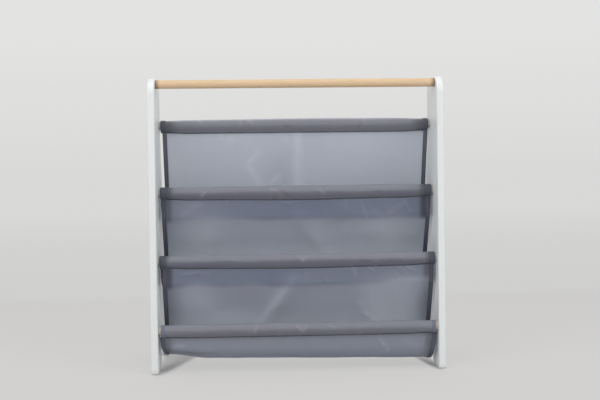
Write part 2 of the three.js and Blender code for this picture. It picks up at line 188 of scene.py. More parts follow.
class Nodes:
    """The nodes of a material or a world. All but feed add one and return an output of it."""

    def __init__(self, owner):
        owner.use_nodes = True
        self.owner = owner
        self.tree = owner.node_tree
        self.shader = self.tree.nodes.get("Principled BSDF")

    def feed(self, node, inputs):
        """Gives inputs of a node a value each, or another node's output."""
        for key, value in inputs.items():
            if isinstance(value, bpy.types.NodeSocket):
                self.tree.links.new(value, node.inputs[key])
            else:
                node.inputs[key].default_value = value

    def add(self, kind, inputs=None, output=0, **settings):
        node = self.tree.nodes.new(f"ShaderNode{kind}")
        for key, value in settings.items():
            setattr(node, key, value)
        self.feed(node, inputs or {})
        return node.outputs[output]

    def place(self):
        return self.add("TexCoord", output="Object")

    def maths(self, operation, *values):
        return self.add("Math", dict(enumerate(values)), operation=operation)

    def spread(self, value, low=0.0, high=1.0, start=0.0, end=1.0, curve="LINEAR"):
        """Turns a value of start to end into one of low to high, and holds it there outside."""
        inputs = {"Value": value, "From Min": start, "From Max": end, "To Min": low, "To Max": high}
        return self.add("MapRange", inputs, interpolation_type=curve)

    def blend(self, share, first, second):
        """Mixes two colours by a share, on those of the node's sockets that are for colours."""
        return self.add("Mix", {0: share, 6: first, 7: second}, output=2, data_type="RGBA")

    def noise(self, place, scale=1, detail=2, stretch=None):
        """Noise at a place, whose three axes may first be scaled on their own."""
        if stretch:
            place = self.add("Mapping", {"Vector": place, "Scale": stretch})
        return self.add("TexNoise", {"Vector": place, "Scale": scale, "Detail": detail})

    def surface(self, colour, roughness, relief, strength, distance):
        """Sets the shader's colour and roughness, and a bump as deep as a distance in metres."""
        bump = self.add("Bump", {"Strength": strength, "Distance": distance, "Height": relief})
        self.feed(self.shader, {"Base Color": colour, "Roughness": roughness, "Normal": bump})
        return bump


def board_finish():
    nodes = Nodes(bpy.data.materials.new("satin_white_paint"))
    place = nodes.place()
    cloud = nodes.noise(place, scale=9, detail=3)
    scuff = nodes.noise(place, scale=70, detail=5)
    height = nodes.add("SeparateXYZ", {0: place}, output="Z")
    near_floor = nodes.spread(height, low=1.0, high=0.0, end=SCUFF_HEIGHT)
    rubbed = nodes.maths("MULTIPLY", near_floor, scuff)
    paint = nodes.blend(cloud, shade(229, 232, 232), shade(234, 238, 238))
    nodes.surface(
        colour=nodes.blend(rubbed, paint, shade(196, 192, 186)),
        roughness=nodes.spread(scuff, low=0.34, high=0.48),
        relief=nodes.noise(place, scale=620, detail=2),
        strength=0.12,
        distance=0.00012,
    )
    return nodes.owner


def hole_cutter(place, inner_x, outer_x):
    """One stepped cutter along X: the bar's socket, the screw's hole and the seat of head and cap."""
    socket_end = inner_x - SOCKET_DEPTH
    seat_x = outer_x + CAP_SEAT_DEPTH
    cutter = start_cylinder("cutter", HOLE_SIDES, SOCKET_RADIUS, socket_end, inner_x + CUT_PAST, place)
    open_piece(cutter, "FACE")
    pick(cutter, "faces", lambda f: f.normal.x < -FACING)
    bpy.ops.mesh.inset(thickness=SOCKET_RADIUS - SCREW_HOLE_RADIUS)
    extrude_along_x(seat_x - socket_end)
    extrude_along_x(0)
    wider = CAP_SEAT_RADIUS / SCREW_HOLE_RADIUS
    bpy.ops.transform.resize(value=(1, wider, wider), center_override=(seat_x, place.y, place.z))
    extrude_along_x(outer_x - CUT_PAST - seat_x)
    close_outward()
    return cutter


white_paint = board_finish()
bar_places = {node: sum(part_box(node), Vector()) / 2 for node in BAR_NODES}
low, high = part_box("side_board_left")
front_y, back_y, top_z = low.y, high.y, high.z
top_back_y = front_y + TOP_DEPTH
lean_top = top_z - LEAN_TOP_DROP
bpy.ops.object.select_all(action="DESELECT")
bpy.ops.mesh.primitive_cube_add(size=1, location=(low + high) / 2, scale=high - low)
board = start_piece("side_board_left_painted")

# The back edge leans forward between the heel and the narrow top
open_piece(board, "VERT")
for level in (LEAN_FOOT_HEIGHT, lean_top):
    bpy.ops.mesh.select_all(action="SELECT")
    bpy.ops.mesh.bisect(plane_co=(0, 0, level), plane_no=(0, 0, 1))
pick(board, "verts", lambda v: v.co.y > back_y - NEAR and v.co.z > lean_top - NEAR)
bpy.ops.transform.translate(value=(0, top_back_y - back_y, 0))

# The arch between the two feet
for foot_y in (front_y + FOOT_LENGTH, back_y - FOOT_LENGTH):
    bpy.ops.mesh.select_all(action="SELECT")
    bpy.ops.mesh.bisect(plane_co=(0, foot_y, 0), plane_no=(0, 1, 0))
bpy.ops.mesh.select_all(action="SELECT")
bpy.ops.mesh.bisect(plane_co=(0, 0, ARCH_HEIGHT), plane_no=(0, 0, 1))
bpy.ops.mesh.select_mode(type="FACE")
pick(board, "faces", lambda f: (
    abs(f.calc_center_median().y) < back_y - FOOT_LENGTH
    and f.calc_center_median().z < ARCH_HEIGHT
))
bpy.ops.mesh.delete(type="FACE")
bpy.ops.mesh.select_mode(type="EDGE")
pick(board, "edges", lambda e: e.is_boundary and abs(e.verts[0].co.x - e.verts[1].co.x) < NEAR)
bpy.ops.mesh.bridge_edge_loops()
bpy.ops.mesh.select_all(action="SELECT")
bpy.ops.mesh.dissolve_limited(angle_limit=math.radians(0.1))

# Every corner of the outline is turned on its own radius
corners = [
    (front_y, 0, FOOT_OUTER_ROUND),
    (front_y + FOOT_LENGTH, 0, FOOT_INNER_ROUND),
    (front_y + FOOT_LENGTH, ARCH_HEIGHT, ARCH_ROUND),
    (back_y - FOOT_LENGTH, ARCH_HEIGHT, ARCH_ROUND),
    (back_y - FOOT_LENGTH, 0, FOOT_INNER_ROUND),
    (back_y, 0, FOOT_OUTER_ROUND),
    (back_y, LEAN_FOOT_HEIGHT, HEEL_ROUND),
    (top_back_y, lean_top, LEAN_ROUND),
    (top_back_y, top_z, TOP_BACK_ROUND),
    (front_y, top_z, TOP_FRONT_ROUND),
]
outline = [Vector((y, z)) for y, z, radius in corners]
for index, (y, z, radius) in enumerate(corners):
    to_before = outline[index - 1] - outline[index]
    to_after = outline[(index + 1) % len(outline)] - outline[index]
    reach = radius / math.tan(to_before.angle(to_after) / 2)
    pick(board, "edges", lambda e: all(
        abs(v.co.y - y) < NEAR and abs(v.co.z - z) < NEAR for v in e.verts
    ))
    bpy.ops.mesh.bevel(offset=reach, segments=ARC_STEPS, affect="EDGES")
close_piece()
apply_modifier(
    board,
    "BEVEL",
    width=EDGE_ROUND,
    segments=EDGE_STEPS,
    limit_method="ANGLE",
    angle_limit=math.radians(60),
    use_clamp_overlap=False,
)

# Sockets and stepped holes, one for each bar
first_place = bar_places[BAR_NODES[0]]
cutter = hole_cutter(first_place, high.x, low.x)
for place in bar_places.values():
    tool = copy_piece(cutter, "hole", Matrix.Translation(place - first_place))
    apply_modifier(board, "BOOLEAN", object=tool, operation="DIFFERENCE", solver="EXACT")
    bpy.data.objects.remove(tool)
bpy.data.objects.remove(cutter)
smooth(board, degrees=35)
board.data.materials.clear()
board.data.materials.append(white_paint)
MIRRORED = Matrix.Diagonal((-1, 1, 1, 1))
boards = {
    "side_board_left": board,
    "side_board_right": copy_piece(board, "side_board_right_painted", MIRRORED),
}
for node, piece in boards.items():
    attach(piece, "root")
    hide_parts(node)


# Round bars: the bare top rail and the four dowels inside the sleeves, turned from one light wood
# and lacquered. Their ends are chamfered, drilled for the screws and let into the boards.
BAR_SIDES = 64
BAR_CHAMFER = 0.0008
PILOT_RADIUS = 0.0028
PILOT_DEPTH = 0.044
# How far from the boards the painted shade on the bars' ends reaches
END_SHADE_REACH = 0.0120
RING_SPACING = 0.0031
# A wave texture repeats after this length over its scale
WAVE_PERIOD = 0.314
GRAIN_WANDER = (0.004, 0.011, 0.011)
board_inner_x = -high.x


def wood_finish(name, end_shade_colour, end_shade_strength):
    """Light wood with long pores. A painted shade darkens both ends towards the boards."""
    nodes = Nodes(bpy.data.materials.new(name))
    place = nodes.place()
    wander = nodes.add("TexNoise", {"Vector": place, "Scale": 2.6, "Detail": 2}, output=1)
    shift = nodes.add("VectorMath", {0: wander, 1: GRAIN_WANDER}, operation="MULTIPLY")
    bent = nodes.add("VectorMath", {0: place, 1: shift}, operation="ADD")
    rings = nodes.add(
        "TexWave",
        {"Vector": bent, "Scale": WAVE_PERIOD / RING_SPACING, "Distortion": 1.2, "Detail": 2},
        output=1,
        wave_type="RINGS",
        rings_direction="X",
        wave_profile="SAW",
    )
    fibre = nodes.noise(bent, detail=6, stretch=(14, 900, 900))
    broad = nodes.noise(place, detail=3, stretch=(7, 90, 90))
    ring_share = nodes.spread(rings, low=0.05, high=0.55)
    wood = nodes.blend(ring_share, shade(226, 200, 166), shade(210, 178, 139))
    tinted = nodes.blend(nodes.spread(broad, high=0.75), wood, shade(222, 190, 151))
    pores = nodes.spread(fibre, high=0.55, start=0.56, end=0.72)
    grained = nodes.blend(pores, tinted, shade(176, 130, 84))
    out = nodes.maths("ABSOLUTE", nodes.add("SeparateXYZ", {0: place}, output="X"))
    end_shade_start = board_inner_x - END_SHADE_REACH
    painted_end_shade = nodes.spread(out, 0.0, end_shade_strength, end_shade_start, board_inner_x, "SMOOTHSTEP")
    nodes.surface(
        colour=nodes.blend(painted_end_shade, grained, end_shade_colour),
        roughness=nodes.spread(fibre, low=0.48, high=0.66),
        relief=fibre,
        strength=0.3,
        distance=0.00015,
    )
    return nodes.owner


# Painted shade at the ends: a brown contact shadow on the rail, a grey shade on the dowels
rail_wood = wood_finish("rail_wood", shade(142, 110, 84), end_shade_strength=0.9)
dowel_wood = wood_finish("dowel_wood", shade(180, 180, 178), end_shade_strength=0.95)
low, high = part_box(BAR_NODES[0])
bar_radius = (high.z - low.z) / 2
bar = start_cylinder(f"{BAR_NODES[0]}_turned", BAR_SIDES, bar_radius, low.x, high.x, first_place)
open_piece(bar, "EDGE")
pick(bar, "edges", lambda e: sorted(abs(f.normal.x) > FACING for f in e.link_faces) == [False, True])
bpy.ops.mesh.bevel(offset=BAR_CHAMFER, segments=3, affect="EDGES")
bpy.ops.mesh.select_mode(type="FACE")
for side in (-1, 1):
    pick(bar, "faces", lambda f: f.normal.x * side > FACING and len(f.verts) == BAR_SIDES)
    bpy.ops.mesh.inset(thickness=bar_radius - BAR_CHAMFER - PILOT_RADIUS)
    extrude_along_x(-side * PILOT_DEPTH)
close_outward()
smooth(bar, degrees=40)
bar.data.materials.append(rail_wood)
bars = {BAR_NODES[0]: bar}
for node in BAR_NODES[1:]:
    bars[node] = copy_piece(bar, f"{node}_turned", Matrix.Translation(bar_places[node] - first_place))
    bars[node].data.materials[0] = dowel_wood
for node, piece in bars.items():
    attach(piece, "root")
    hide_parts(node)


# Screws: zinc-plated steel, one driven from outside through a board into each end of every bar.
# They keep their plain turned form, with a brushed and slightly clouded plating.


def grained_finish(name, grain, colours, roughness, bump, metallic=0.0):
    """A material that varies with one fine grain. grain is its scale and detail, bump its strength
    and depth in metres; colours and roughness are each given at the grain's two ends."""
    nodes = Nodes(bpy.data.materials.new(name))
    cloud = nodes.noise(nodes.place(), *grain)
    nodes.surface(nodes.blend(cloud, *colours), nodes.spread(cloud, *roughness), cloud, *bump)
    nodes.feed(nodes.shader, {"Metallic": metallic})
    return nodes.owner


steel = grained_finish(
    "zinc_plated_steel",
    grain=(380, 3),
    colours=(shade(186, 188, 190), shade(205, 204, 196)),
    roughness=(0.24, 0.46),
    bump=(0.2, 0.00005),
    metallic=1.0,
)
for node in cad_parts:
    if "_screw_" in node:
        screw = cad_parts[node]
        screw.data.materials.clear()
        screw.data.materials.append(steel)


# Cover caps: small white plastic discs with a domed face and a stem pressed into the screw's
# drive. One hides each screw's head, a hair below the painted face of the board.
CAP_SIDES = 48
CAP_RIM_ROUND = 0.0007
CAP_DISC = 0.0018
CAP_STEM_RADIUS = 0.0018
CAP_STEM_LENGTH = 0.0015

cap_plastic = grained_finish(
    "white_cap_plastic",
    grain=(1500, 2),
    colours=(shade(236, 236, 234), shade(241, 241, 240)),
    roughness=(0.34, 0.46),
    bump=(0.1, 0.00005),
)
cap_nodes = [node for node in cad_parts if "_cap_" in node]
low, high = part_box(cap_nodes[0])
first_centre = (low + high) / 2
side = math.copysign(1, low.x)
outer_x = high.x if side > 0 else low.x
disc_x = outer_x - side * CAP_DISC
cap_radius = (high.z - low.z) / 2
first_cap = start_cylinder(
    f"{cap_nodes[0]}_moulded", CAP_SIDES, cap_radius, disc_x, outer_x, first_centre
)
open_piece(first_cap, "EDGE")
pick(first_cap, "edges", lambda e: all(abs(v.co.x - outer_x) < NEAR for v in e.verts))
bpy.ops.mesh.bevel(offset=CAP_RIM_ROUND, segments=5, affect="EDGES")
bpy.ops.mesh.select_mode(type="FACE")
pick(first_cap, "faces", lambda f: -f.normal.x * side > FACING)
bpy.ops.mesh.inset(thickness=cap_radius - CAP_STEM_RADIUS)
extrude_along_x(-side * CAP_STEM_LENGTH)
close_outward()
smooth(first_cap, degrees=40)
first_cap.data.materials.append(cap_plastic)
caps = {cap_nodes[0]: first_cap}
for node in cap_nodes[1:]:
    centre = sum(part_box(node), Vector()) / 2
    turned = MIRRORED if centre.x * side < 0 else Matrix.Identity(4)
    change = Matrix.Translation(centre - turned @ first_centre) @ turned
    caps[node] = copy_piece(first_cap, f"{node}_moulded", change)
for node, piece in caps.items():
    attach(piece, "root")
    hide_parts(node)


# Sleeves: the sling's grey cloth turned round each dowel and sewn to itself below, so that a dowel
# slides in from one end. It bags a little between its ends, and the seam draws it into small puckers.
SLEEVE_CLOTH_THICK = 0.0012
SLEEVE_STANDS = {"side": 0.0024, "top": 0.0030, "seam": 0.0062}
SLEEVE_END_STANDS = {"side": 0.0020, "top": 0.0020, "seam": 0.0046}
# Slack cloth above or below some dowels, as (x, half run, height).
SLEEVE_SLACK = {
    (1, "top"): (0.040, 0.190, 0.0018),
    (2, "seam"): (0.010, 0.130, 0.0024),
    (3, "seam"): (0.000, 0.150, 0.0028),
}
SWELL_START = 0.272
SWELL_RUN = 0.045
SEAM_PINCH = 0.34
SLEEVE_ENDS_SHORT = {1: 0.0020, 2: 0.0020, 3: 0.0010, 4: 0.0}
END_TAPE_EDGE = 0.0008
LOWEST_SLEEVE = 4
SLEEVE_STEP = 0.0032
SLEEVE_ROUND_STEPS = 44
# The puckers at each seam, as (x, strength). They and the cloth's unrest are shares of their height.
PUCKER_HEIGHT = 0.0011
PUCKER_START = 0.45
PUCKER_RUN = 1.3
PUCKER_SLANT = 0.006
PUCKER_WIDTH = 0.0045
PUCKER_END_X = 0.289
PUCKER_END_RUN = 0.02
# Kinds of unevenness, as (height, scale across, scale down or round, step of the seed from one
# piece to the next, first seed).
SEAM_UNREST = (0.45, 95, 0.24, 3.1, 0)
BROAD_UNREST = (0.3, 11, 0.4, 5.7, 0)
DARK_END_RAGGED = (0.003, 90, 0.6, 4.9, 0)
UNDERSIDE_SHADE_RAGGED = (0.15, 22, 0.3, 6.1, 0)
SEAM_RIDGE_WANDER = (0.0003, 60, 1, 2.3, 0)
SLEEVE_PUCKERS = {
    1: [(-0.15, 1.0), (0.085, 0.8), (0.19, 0.7)],
    2: [(-0.195, 1.4), (-0.05, 1.5), (-0.03, 1.2), (0.21, 0.8)],
    3: [(-0.12, 0.9), (0.12, 1.2), (0.17, 1.3), (0.23, 1.0)],
    4: [(-0.1, 1.2), (-0.035, 1.2), (0.13, 0.8)],
}
THREAD_PITCH = 0.00062
SLUB_STRETCHES = {"X": (2100, 45, 1), "Y": (45, 2100, 1)}
CLOTH_THROUGH = 0.44
# Painted shade on the cloth: at its ends, as (how far in, fade), and on its lower half down to the
# seam, where it lies double. A thin strip under each dowel takes a painted light.
SLEEVE_DARK_ENDS = {1: (0.014, 0.026), 2: (0.019, 0.010), 3: (0.012, 0.012), 4: (-0.001, 0.001)}
SLEEVE_UNDERSIDE_SHADE = {1: 0.45, 2: 0.85, 3: 0.90, 4: 0.50}
UNDERSIDE_SHADE_START = 0.12
UNDERSIDE_SHADE_RUN = 0.42
SLEEVE_UNDERSIDE_LIGHT = {1: 0.60, 2: 0.35, 3: 0.25, 4: 0.20}
UNDERSIDE_LIGHT_START = 0.76
UNDERSIDE_LIGHT_RUN = 0.20
SLEEVE_CREASE_SPREAD = 0.0026
SLEEVE_CREASE_FULL = 0.0030
# Small creases on the front of each sleeve, as (x, share of the way down, x and share at its other
# end, height). A negative height is a dent.
SLEEVE_CREASES = {
    1: [
        (-0.207, 0.30, -0.200, 0.42, 0.0008),
        (-0.117, 0.25, -0.117, 0.55, 0.0006),
        (-0.101, 0.25, -0.092, 0.45, 0.0009),
        (-0.024, 0.58, -0.012, 0.62, -0.0009),
        (0.137, 0.65, 0.143, 0.38, -0.0009),
        (0.143, 0.38, 0.151, 0.25, 0.0007),
    ],
    2: [
        (-0.202, 0.66, -0.193, 0.50, 0.0007),
        (-0.056, 0.38, -0.044, 0.42, 0.0009),
        (-0.031, 0.52, -0.018, 0.70, -0.0011),
        (0.050, 0.45, 0.058, 0.60, 0.0007),
        (0.165, 0.55, 0.178, 0.62, -0.0008),
    ],
    3: [
        (0.003, 0.35, 0.010, 0.52, 0.0007),
        (0.010, 0.52, 0.018, 0.38, 0.0006),
        (-0.140, 0.40, -0.125, 0.50, 0.0003),
        (0.130, 0.60, 0.150, 0.66, -0.0008),
        (0.215, 0.40, 0.222, 0.55, 0.0003),
    ],
    4: [
        (-0.088, 0.30, -0.093, 0.62, 0.0009),
        (-0.004, 0.38, 0.004, 0.58, 0.0009),
        (0.008, 0.60, 0.016, 0.36, 0.0007),
        (0.060, 0.32, 0.072, 0.48, 0.0006),
        (0.120, 0.50, 0.145, 0.36, 0.0002),
    ],
}
STITCH_LENGTH = 0.0024
STITCH_PITCH = 0.0033
STITCH_RADIUS = 0.00024
STITCH_SIDES = 6
STITCH_PLUMP = 1.2
STITCH_STAND = 0.3
SEAM_STITCH_INSET = 0.010
SEAM_ANGLE = 0.42
SEAM_RIDGE_DROP = 0.0160
SEAM_RIDGE_HALF_HEIGHT = 0.0012
SEAM_RIDGE_HALF_DEPTHS = {1: 0.0017, 2: 0.0033, 3: 0.0033, 4: 0.0017}
SEAM_RIDGE_SIDES = 12
SEAM_RIDGE_GIRTH = 0.009
OUTWARD_STEP = 0.001


def ease(value):
    share = np.clip(value, 0, 1)
    return share * share * (3 - 2 * share)


def unrest(kind, number, across, down):
    """Smooth noise of a kind at each of a grid's places on the piece with a number."""
    height, scale_across, scale_down, seed_step, first_seed = kind
    seed = number * seed_step + first_seed
    flat = [
        noise.noise(Vector((a * scale_across, d * scale_down, seed)))
        for a, d in zip(across.ravel(), down.ravel())
    ]
    return height * np.array(flat).reshape(across.shape)


def sew_sheet(name, points, across, down, closed):
    """A sheet through rows of points. Its UV map gives a place's distance across and down the cloth.
    In a closed sheet the last row is joined to the first."""
    rows, columns = points.shape[:2]
    face_rows = rows if closed else rows - 1
    row, column = np.meshgrid(np.arange(face_rows), np.arange(columns - 1), indexing="ij")
    square = [(row, column), (row, column + 1), (row + 1, column + 1), (row + 1, column)]
    faces = np.stack([r % rows * columns + c for r, c in square], -1).reshape(-1, len(square))
    mesh = bpy.data.meshes.new(name)
    mesh.from_pydata(points.reshape(-1, 3).tolist(), [], faces.tolist())
    places = np.stack([np.stack([across[c], down[r]], -1) for r, c in square], -2)
    mesh.uv_layers.new(name="cloth").data.foreach_set("uv", places.ravel())
    return add_object(name, mesh)


def model_stitch():
    """One stitch as a slim spindle of radius and half length 1: its vertices, and its faces."""
    bpy.ops.object.select_all(action="DESELECT")
    bpy.ops.mesh.primitive_uv_sphere_add(segments=STITCH_SIDES, ring_count=4, radius=1)
    stitch = start_piece("stitch")
    open_piece(stitch, "VERT")
    pick(stitch, "verts", lambda v: abs(v.co.z) < 1 - NEAR)
    bpy.ops.transform.resize(value=(STITCH_PLUMP, STITCH_PLUMP, 1))
    close_piece()
    shape = np.array([vertex.co for vertex in stitch.data.vertices])
    faces = [list(face.vertices) for face in stitch.data.polygons]
    bpy.data.objects.remove(stitch)
    return shape, faces


def sew_stitches(name, starts, ends, outs, thread):
    """Rows of thread stitches, each a copy of the one modelled, from its start to its end. outs is
    the way out of the cloth at each. All three are lists of arrays with a row for each stitch."""
    shape, faces = stitch_model
    starts, ends, outs = (np.vstack(rows) for rows in (starts, ends, outs))
    half = (ends - starts) / 2
    aside = np.cross(outs, half)
    aside *= STITCH_RADIUS / np.linalg.norm(aside, axis=1)[:, None]
    middle = (starts + ends) / 2 + outs * STITCH_RADIUS / 2
    vertices = middle[:, None] + sum(
        shape[None, :, axis, None] * way[:, None]
        for axis, way in enumerate((aside, outs * STITCH_RADIUS, half))
    )
    all_faces = [
        [corner + number * len(shape) for corner in face]
        for number in range(len(starts))
        for face in faces
    ]
    mesh = bpy.data.meshes.new(name)
    mesh.from_pydata(vertices.reshape(-1, 3).tolist(), [], all_faces)
    piece = add_object(name, mesh)
    smooth(piece, degrees=60)
    piece.data.materials.append(thread)
    return piece


def thread_finish(name, dark, light):
    return grained_finish(
        name, grain=(2400, 2), colours=(dark, light), roughness=(0.45, 0.65), bump=(0.4, 0.0001)
    )


def add_share(piece, name, values):
    piece.data.attributes.new(name, "FLOAT", "POINT").data.foreach_set("value", values.ravel())


def bands(nodes, place, pitch, direction, distortion):
    """Waves across the cloth (X) or down it (Y), at a pitch in metres."""
    inputs = {"Vector": place, "Scale": WAVE_PERIOD / pitch, "Distortion": distortion}
    return nodes.add("TexWave", inputs, output=1, bands_direction=direction)


def end_with(nodes, share, first, second):
    """Mixes two shaders by a share and leads the mix to the surface."""
    mixed = nodes.add("MixShader", {0: share, 1: first, 2: second})
    ending = next(node for node in nodes.tree.nodes if "Output" in node.bl_idname)
    nodes.feed(ending, {"Surface": mixed})


def cloth_finish(name, light, dark, marks=(), seen_through=None):
    """Close plain-woven cloth, a little uneven in its yarn. marks are (attribute, colour, colour of
    the light that comes through) and the cloth takes these colours where the attribute is 1.
    seen_through is the colour of the light that comes through the plain cloth, if any does."""
    nodes = Nodes(bpy.data.materials.new(name))
    place = nodes.add("UVMap", uv_map="cloth")
    waves, slubs = [], []
    for direction, stretch in SLUB_STRETCHES.items():
        waves.append(bands(nodes, place, 2 * THREAD_PITCH, direction, distortion=0.25))
        slubs.append(nodes.noise(place, stretch=stretch))
    share = nodes.spread(nodes.maths("ADD", *slubs), start=0.6, end=1.4)
    cloudy = nodes.noise(place, scale=11, detail=3)
    worn = nodes.blend(nodes.spread(cloudy, high=0.5), nodes.blend(share, dark, light), light)
    passed = seen_through
    for attribute, colour, passed_colour in marks:
        marked = nodes.add("Attribute", output="Fac", attribute_name=attribute)
        worn = nodes.blend(marked, worn, colour)
        if seen_through:
            passed = nodes.blend(marked, passed, passed_colour)
    bump = nodes.surface(
        colour=worn,
        roughness=nodes.spread(share, low=0.62, high=0.78),
        relief=nodes.maths("ADD", *waves),
        strength=0.3,
        distance=0.00014,
    )
    nodes.feed(nodes.shader, {"Sheen Weight": 0.1, "Sheen Roughness": 0.5})
    if seen_through:
        glow = nodes.add("BsdfTranslucent", {"Color": passed, "Normal": bump})
        end_with(nodes, CLOTH_THROUGH, nodes.shader.outputs[0], glow)
    return nodes.owner


def near_line(line, across, down, spread):
    """1 along a line between two places of a cloth, falling to 0 over a spread on both sides."""
    left, top, left_end, top_end = line
    run_x, run_down = left_end - left, top_end - top
    to_x, to_down = across - left, down - top
    nearest = np.clip((to_x * run_x + to_down * run_down) / (run_x**2 + run_down**2), 0, 1)
    away = np.hypot(to_x - nearest * run_x, to_down - nearest * run_down) / spread
    return np.exp(-(away**2))


def swell(x):
    return ease((SWELL_START - np.abs(x)) / SWELL_RUN)


def sleeve_reach(number, part, x):
    """How far the side, the top or the seam of a sleeve stands from its dowel's axis."""
    end, full = SLEEVE_END_STANDS[part], SLEEVE_STANDS[part]
    centre, run, slack = SLEEVE_SLACK.get((number, part), (0, 1, 0))
    bag = slack * np.exp(-(((x - centre) / run) ** 2))
    return bar_radius + end + (full + bag - end) * swell(x)


def seam_lift(number, x):
    """How much higher the seam is than below a sleeve that is full and not slack."""
    return bar_radius + SLEEVE_STANDS["seam"] - sleeve_reach(number, "seam", x)


def sleeve_points(number, x, angle, lift):
    """Points round a dowel's axis at angles from the top, lifted off the sleeve's plain surface."""
    place = bar_places[f"sling_dowel_{number}"]
    height = np.cos(angle)
    narrowed = 1 - SEAM_PINCH * np.clip(-height, 0, 1) ** 2 * swell(x)
    y = (sleeve_reach(number, "side", x) * narrowed + lift) * np.sin(angle)
    reach = np.where(height > 0, sleeve_reach(number, "top", x), sleeve_reach(number, "seam", x))
    return np.stack([x, place.y + y, place.z + (reach + lift) * height], -1)


def seam_puckers(number, x, angle):
    """How far the cloth of a sleeve stands off, as small folds that rise from the seam."""
    near_seam = ease((PUCKER_START - np.cos(angle)) / PUCKER_RUN)
    height = unrest(BROAD_UNREST, number, x, angle)
    height = height + unrest(SEAM_UNREST, number, x, angle) * near_seam
    for centre, strength in SLEEVE_PUCKERS[number]:
        away = (x - centre - PUCKER_SLANT * np.cos(angle)) / PUCKER_WIDTH
        height = height + strength * np.exp(-(away**2)) * near_seam
    return PUCKER_HEIGHT * height * ease((PUCKER_END_X - np.abs(x)) / PUCKER_END_RUN)


def sleeve_creases(number, x, angle):
    """The height of the small creases on the front of a sleeve."""
    half_girth = np.pi * (bar_radius + SLEEVE_STANDS["side"])
    down = (2 * np.pi - angle) / np.pi * half_girth
    height = np.zeros_like(x)
    for left, top, left_end, top_end, rise in SLEEVE_CREASES[number]:
        line = (left, top * half_girth, left_end, top_end * half_girth)
        height = height + rise * near_line(line, x, down, SLEEVE_CREASE_SPREAD)
    return height


SLEEVE_MARKS = (
    ("underside_shade", shade(105, 106, 119), None),
    ("painted_light", shade(166, 167, 176), None),
    ("painted_shade", shade(88, 88, 97), None),
    ("end_shade", shade(92, 94, 100), None),
)
sleeve_cloth = cloth_finish("sleeve_cloth", shade(130, 132, 142), shade(118, 120, 130), SLEEVE_MARKS)
